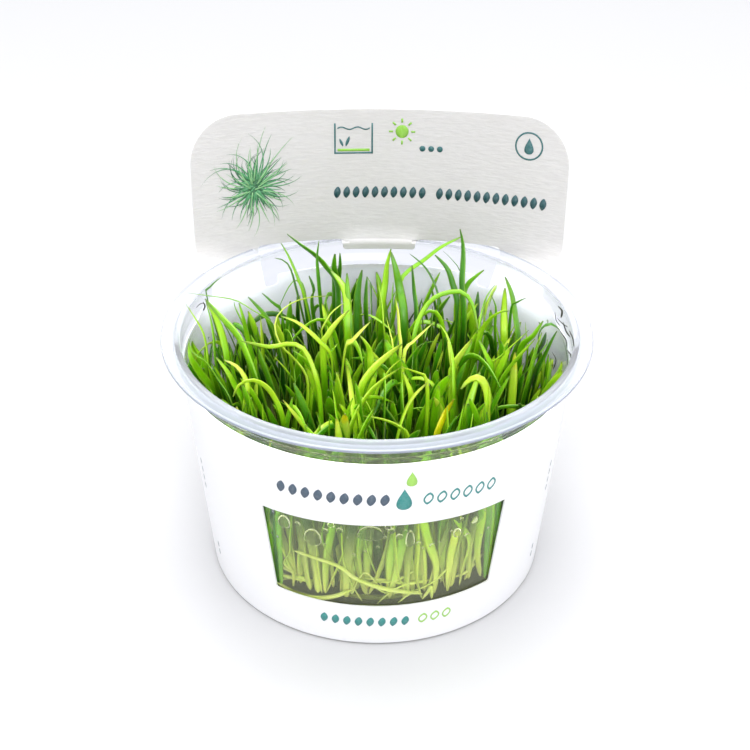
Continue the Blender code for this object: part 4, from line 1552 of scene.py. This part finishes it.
# The runners and roots at the foot of the window, as the window's leaves are given
SEEN_RUNNERS = [
    Seen(0.9, 1.1, [(295, 550, 0), (318, 558, 0), (340, 566, 0), (356, 578, 0), (385, 588, 0),
                    (422, 593, 0)]),
    Seen(0.8, 1.2, [(277, 581, 0), (297, 592, 0), (318, 597, 0), (336, 595, 0), (352, 589, 0)]),
    Seen(0.8, 0.9, [(279, 580, 2), (296, 576, 2), (310, 580, 2), (311, 590, 2)]),
    Seen(0.9, 1.0, [(422, 598, 0), (428, 590, 0), (431, 586, 0), (431, 598, 0)]),
    Seen(0.7, 0.5, [(377, 603, 0), (392, 590, 0), (410, 582, 0)]),
    Seen(0.7, 0.4, [(352, 594, 0), (358, 580, 0), (366, 572, 0), (378, 584, 0)]),
    Seen(0.7, 0.5, [(398, 602, 0), (408, 594, 0), (420, 590, 0)]),
    Seen(0.6, 1.6, [(345, 597, 4), (375, 600, 4), (405, 597, 4)]),
]


def make_runners(tree, finish):
    """Pale runners and roots: those that show at the foot of the window, and more on the gel."""
    rng = random.Random(SEED + 1)
    lines = []
    for runner in SEEN_RUNNERS:
        points = [behind(*place) for place in runner.places]
        lines.append(fine_line(points, runner.width, 0.0, runner.tone))
    for k in range(16):
        turn = rng.uniform(0.0, 2.0 * math.pi)
        span = rng.uniform(0.25, 0.6) * rng.choice((-1, 1))
        low = rng.uniform(12.8, 15.0) * MM
        rise = rng.uniform(0.0, 7.0) * MM
        depth = rng.uniform(1.0, 4.0) * MM
        points = []
        for share in (0.0, 0.25, 0.5, 0.75, 1.0):
            z = low + rise * share + 1.2 * MM * math.sin(3.0 * share + k)
            radius = wall_radius(z) - CUP_WALL - WALL_GAP - depth * (0.4 + 0.6 * abs(2 * share - 1))
            angle = turn + span * (share - 0.5)
            points.append(Vector(at_turn(radius, angle, max(z, GEL_TOP + 0.9 * MM))))
        lines.append(fine_line(points, rng.uniform(0.5, 1.3), 0.0, 0.5))
    piece = link_mesh("runners", lines_mesh("runners", lines))
    run_tree(piece, tree, stations=20, section_corners=8, thickness_share=0.8, finish=finish)
    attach(piece, "root")


# Condensation


def drops_tree():
    """Geometry nodes that scatter flattened drops over a wall."""
    tree, given = new_group("drops on a wall", "Wall", (
        ("Drops per square metre", "NodeSocketFloat", 20000.0),
        ("Smallest", "NodeSocketFloat", 0.2 * MM),
        ("Largest", "NodeSocketFloat", 0.8 * MM),
        ("Seed", "NodeSocketInt", 1),
        ("Finish", "NodeSocketMaterial", None),
    ), "Drops")
    spots = add_node(
        tree, "GeometryNodeDistributePointsOnFaces",
        {"Mesh": given["Wall"], "Density": given["Drops per square metre"], "Seed": given["Seed"]},
    )
    ball = add_node(tree, "GeometryNodeMeshIcoSphere", {"Radius": 1.0, "Subdivisions": 2})
    flat = add_node(tree, "GeometryNodeTransform", {"Geometry": ball, "Scale": (1.0, 1.0, 0.38)})
    size = add_node(
        tree, "FunctionNodeRandomValue",
        {2: given["Smallest"], 3: given["Largest"], "Seed": given["Seed"]},
        data_type="FLOAT",
    )
    placed = add_node(
        tree, "GeometryNodeInstanceOnPoints", {
            "Points": spots, "Instance": flat, "Rotation": spots.outputs["Rotation"],
            "Scale": size.outputs[1],
        },
    )
    real = add_node(tree, "GeometryNodeRealizeInstances", {"Geometry": placed})
    soft = add_node(tree, "GeometryNodeSetShadeSmooth", {"Geometry": real})
    painted = add_node(tree, "GeometryNodeSetMaterial", {"Geometry": soft, "Material": given["Finish"]})
    add_node(tree, "NodeGroupOutput", {"Drops": painted})
    return tree


def wall_band(name, low, high, start, end):
    """A band of the cup's inner wall, just clear of it, between two heights and two turns."""
    steps = 40
    points = []
    for z in (low, high):
        radius = wall_radius(min(z, SHOULDER_Z)) - CUP_WALL - 0.35 * MM
        for k in range(steps + 1):
            points.append(at_turn(radius, mix(start, end, k / steps), z))
    faces = [(k, k + 1, k + steps + 2, k + steps + 1) for k in range(steps)]
    mesh = bpy.data.meshes.new(name)
    mesh.from_pydata(points, [], faces)
    return link_mesh(name, mesh)


def make_drops(finish):
    """Condensation: fine beads high on the wall behind the window, smaller and sparser ones above them
    round the front, and sparse small ones at the back. A band has its heights in mm, its turns in degrees
    and its drops' radii in mm."""
    tree = drops_tree()
    bands = (
        ("drops_window", (27, 37.5), (140, 220), 52000.0, (0.28, 0.95), 3),
        ("drops_front", (38, 55), (95, 265), 12000.0, (0.25, 0.7), 4),
        ("drops_back", (40, 55), (-85, 85), 4000.0, (0.20, 0.5), 5),
    )
    for name, (low, high), (start, end), density, (smallest, largest), seed in bands:
        piece = wall_band(name, low * MM, high * MM, math.radians(start), math.radians(end))
        run_tree(
            piece, tree, drops_per_square_metre=density, smallest=smallest * MM,
            largest=largest * MM, seed=seed, finish=finish,
        )
        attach(piece, "root")


# The large drops behind the window's upper edge: the photo's column and row, width and height
BIG_DROPS = [
    (284.5, 521.0, 2.8, 3.4),
    (313.0, 536.5, 3.8, 4.6),
    (370.7, 533.0, 5.6, 4.0),
    (410.0, 538.0, 1.9, 4.6),
    (457.0, 532.0, 1.8, 2.4),
    (331.0, 524.0, 1.5, 1.8),
    (388.0, 526.0, 1.3, 1.6),
    (474.0, 519.0, 1.6, 2.0),
]


def make_big_drops(finish):
    """Large drops that hang on the inside of the wall: flat to it and rounded inwards."""
    made = bmesh.new()
    for column, row, width, height in BIG_DROPS:
        centre = seen_on_wall(column, row, 0.25 * MM)
        outward = Vector((centre.x, centre.y, 0.0)).normalized()
        sideways = Vector((-outward.y, outward.x, 0.0))
        turn = Matrix((sideways, outward, Vector((0.0, 0.0, 1.0)))).transposed()
        ball = bmesh.ops.create_uvsphere(made, u_segments=28, v_segments=16, radius=0.5)
        for vert in ball["verts"]:
            x, y, z = vert.co
            inwards = 1.7 if y < 0.0 else 0.3
            sag = 1.0 + 0.25 * (0.5 - z) * (1.0 if z < 0.0 else 0.4)
            vert.co = centre + turn @ (Vector((x * width * sag, y * inwards, z * height)) * MM)
    bmesh.ops.recalc_face_normals(made, faces=made.faces)
    piece = link_mesh("drops_large", smooth_mesh(made, "drops_large"), finish)
    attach(piece, "root")


# Bits of dead root that stick to the wall above the turf: width, and places as columns and rows
WALL_FLECKS = [
    (0.5, [(558, 306), (562, 311), (561, 318)]),
    (0.3, [(557, 318), (563, 324), (568, 327)]),
    (0.4, [(563, 322), (566, 331), (570, 337)]),
    (0.3, [(569, 330), (573, 339), (574, 348)]),
    (0.3, [(560, 331), (566, 340), (567, 348)]),
    (0.25, [(555, 312), (556, 320), (560, 326)]),
    (0.35, [(567, 350), (571, 356), (570, 364)]),
    (0.25, [(552, 352), (556, 360), (553, 370)]),
    (0.5, [(203, 302), (205, 306), (203, 311)]),
    (0.25, [(196, 308), (200, 304), (204, 303)]),
]


def dead_tissue():
    """Dead root bits, dry and dark brown."""
    return new_material("dead root tissue", {"Base Color": linear("#3a3c30"), "Roughness": 0.7})


def make_flecks(tree, finish):
    """The bits of dead root, as thin lines close to the far wall."""
    lines = []
    for width, places in WALL_FLECKS:
        points = [seen_on_wall(column, row, 0.5 * MM, 1) for column, row in places]
        lines.append(fine_line(points, width, 0.0, 0.5))
    piece = link_mesh("wall_flecks", lines_mesh("wall_flecks", lines))
    run_tree(piece, tree, stations=12, section_corners=6, thickness_share=0.6, finish=finish)
    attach(piece, "root")


def finish_gel(finish):
    """The gel keeps its modelled shape and gets its clear, faintly yellow finish."""
    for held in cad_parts["gel"].material_slots:
        held.material = finish


make_camera()
make_floor()
light_scene()
make_cup(clear_polypropylene())
coated_side = card_finish(
    "coated carton board", "#f3f3f5", "#f0f0f2", "#f2f2f4",
    roughness=0.42, grain=0.5 * MM, run=1.0, tooth=0.01 * MM, hollow_shade=0.005,
)
# The plain side's two greys are partly the board's own colour and partly painted shade on the panel; its
# colour below the slot is painted light.
plain_side = card_finish(
    "plain board back", "#dad8d9", "#d3d1d0", "#fffefa",
    roughness=0.66, grain=0.5 * MM, run=5.0, tooth=0.09 * MM, hollow_shade=0.05,
)
make_sleeve(coated_side, plain_side)
print_tuft()
print_header()
print_front()
print_sides()
finish_gel(clear_liquid("set nutrient gel", "#dfe8a6", 1.34, 0.04))
blades = blade_tree()
make_turf(blades, leaf_tissue())
make_runners(blades, stem_tissue())
make_flecks(blades, dead_tissue())
water = clear_liquid("water", "#ffffff", 1.33, 0.0)
make_drops(water)
make_big_drops(water)
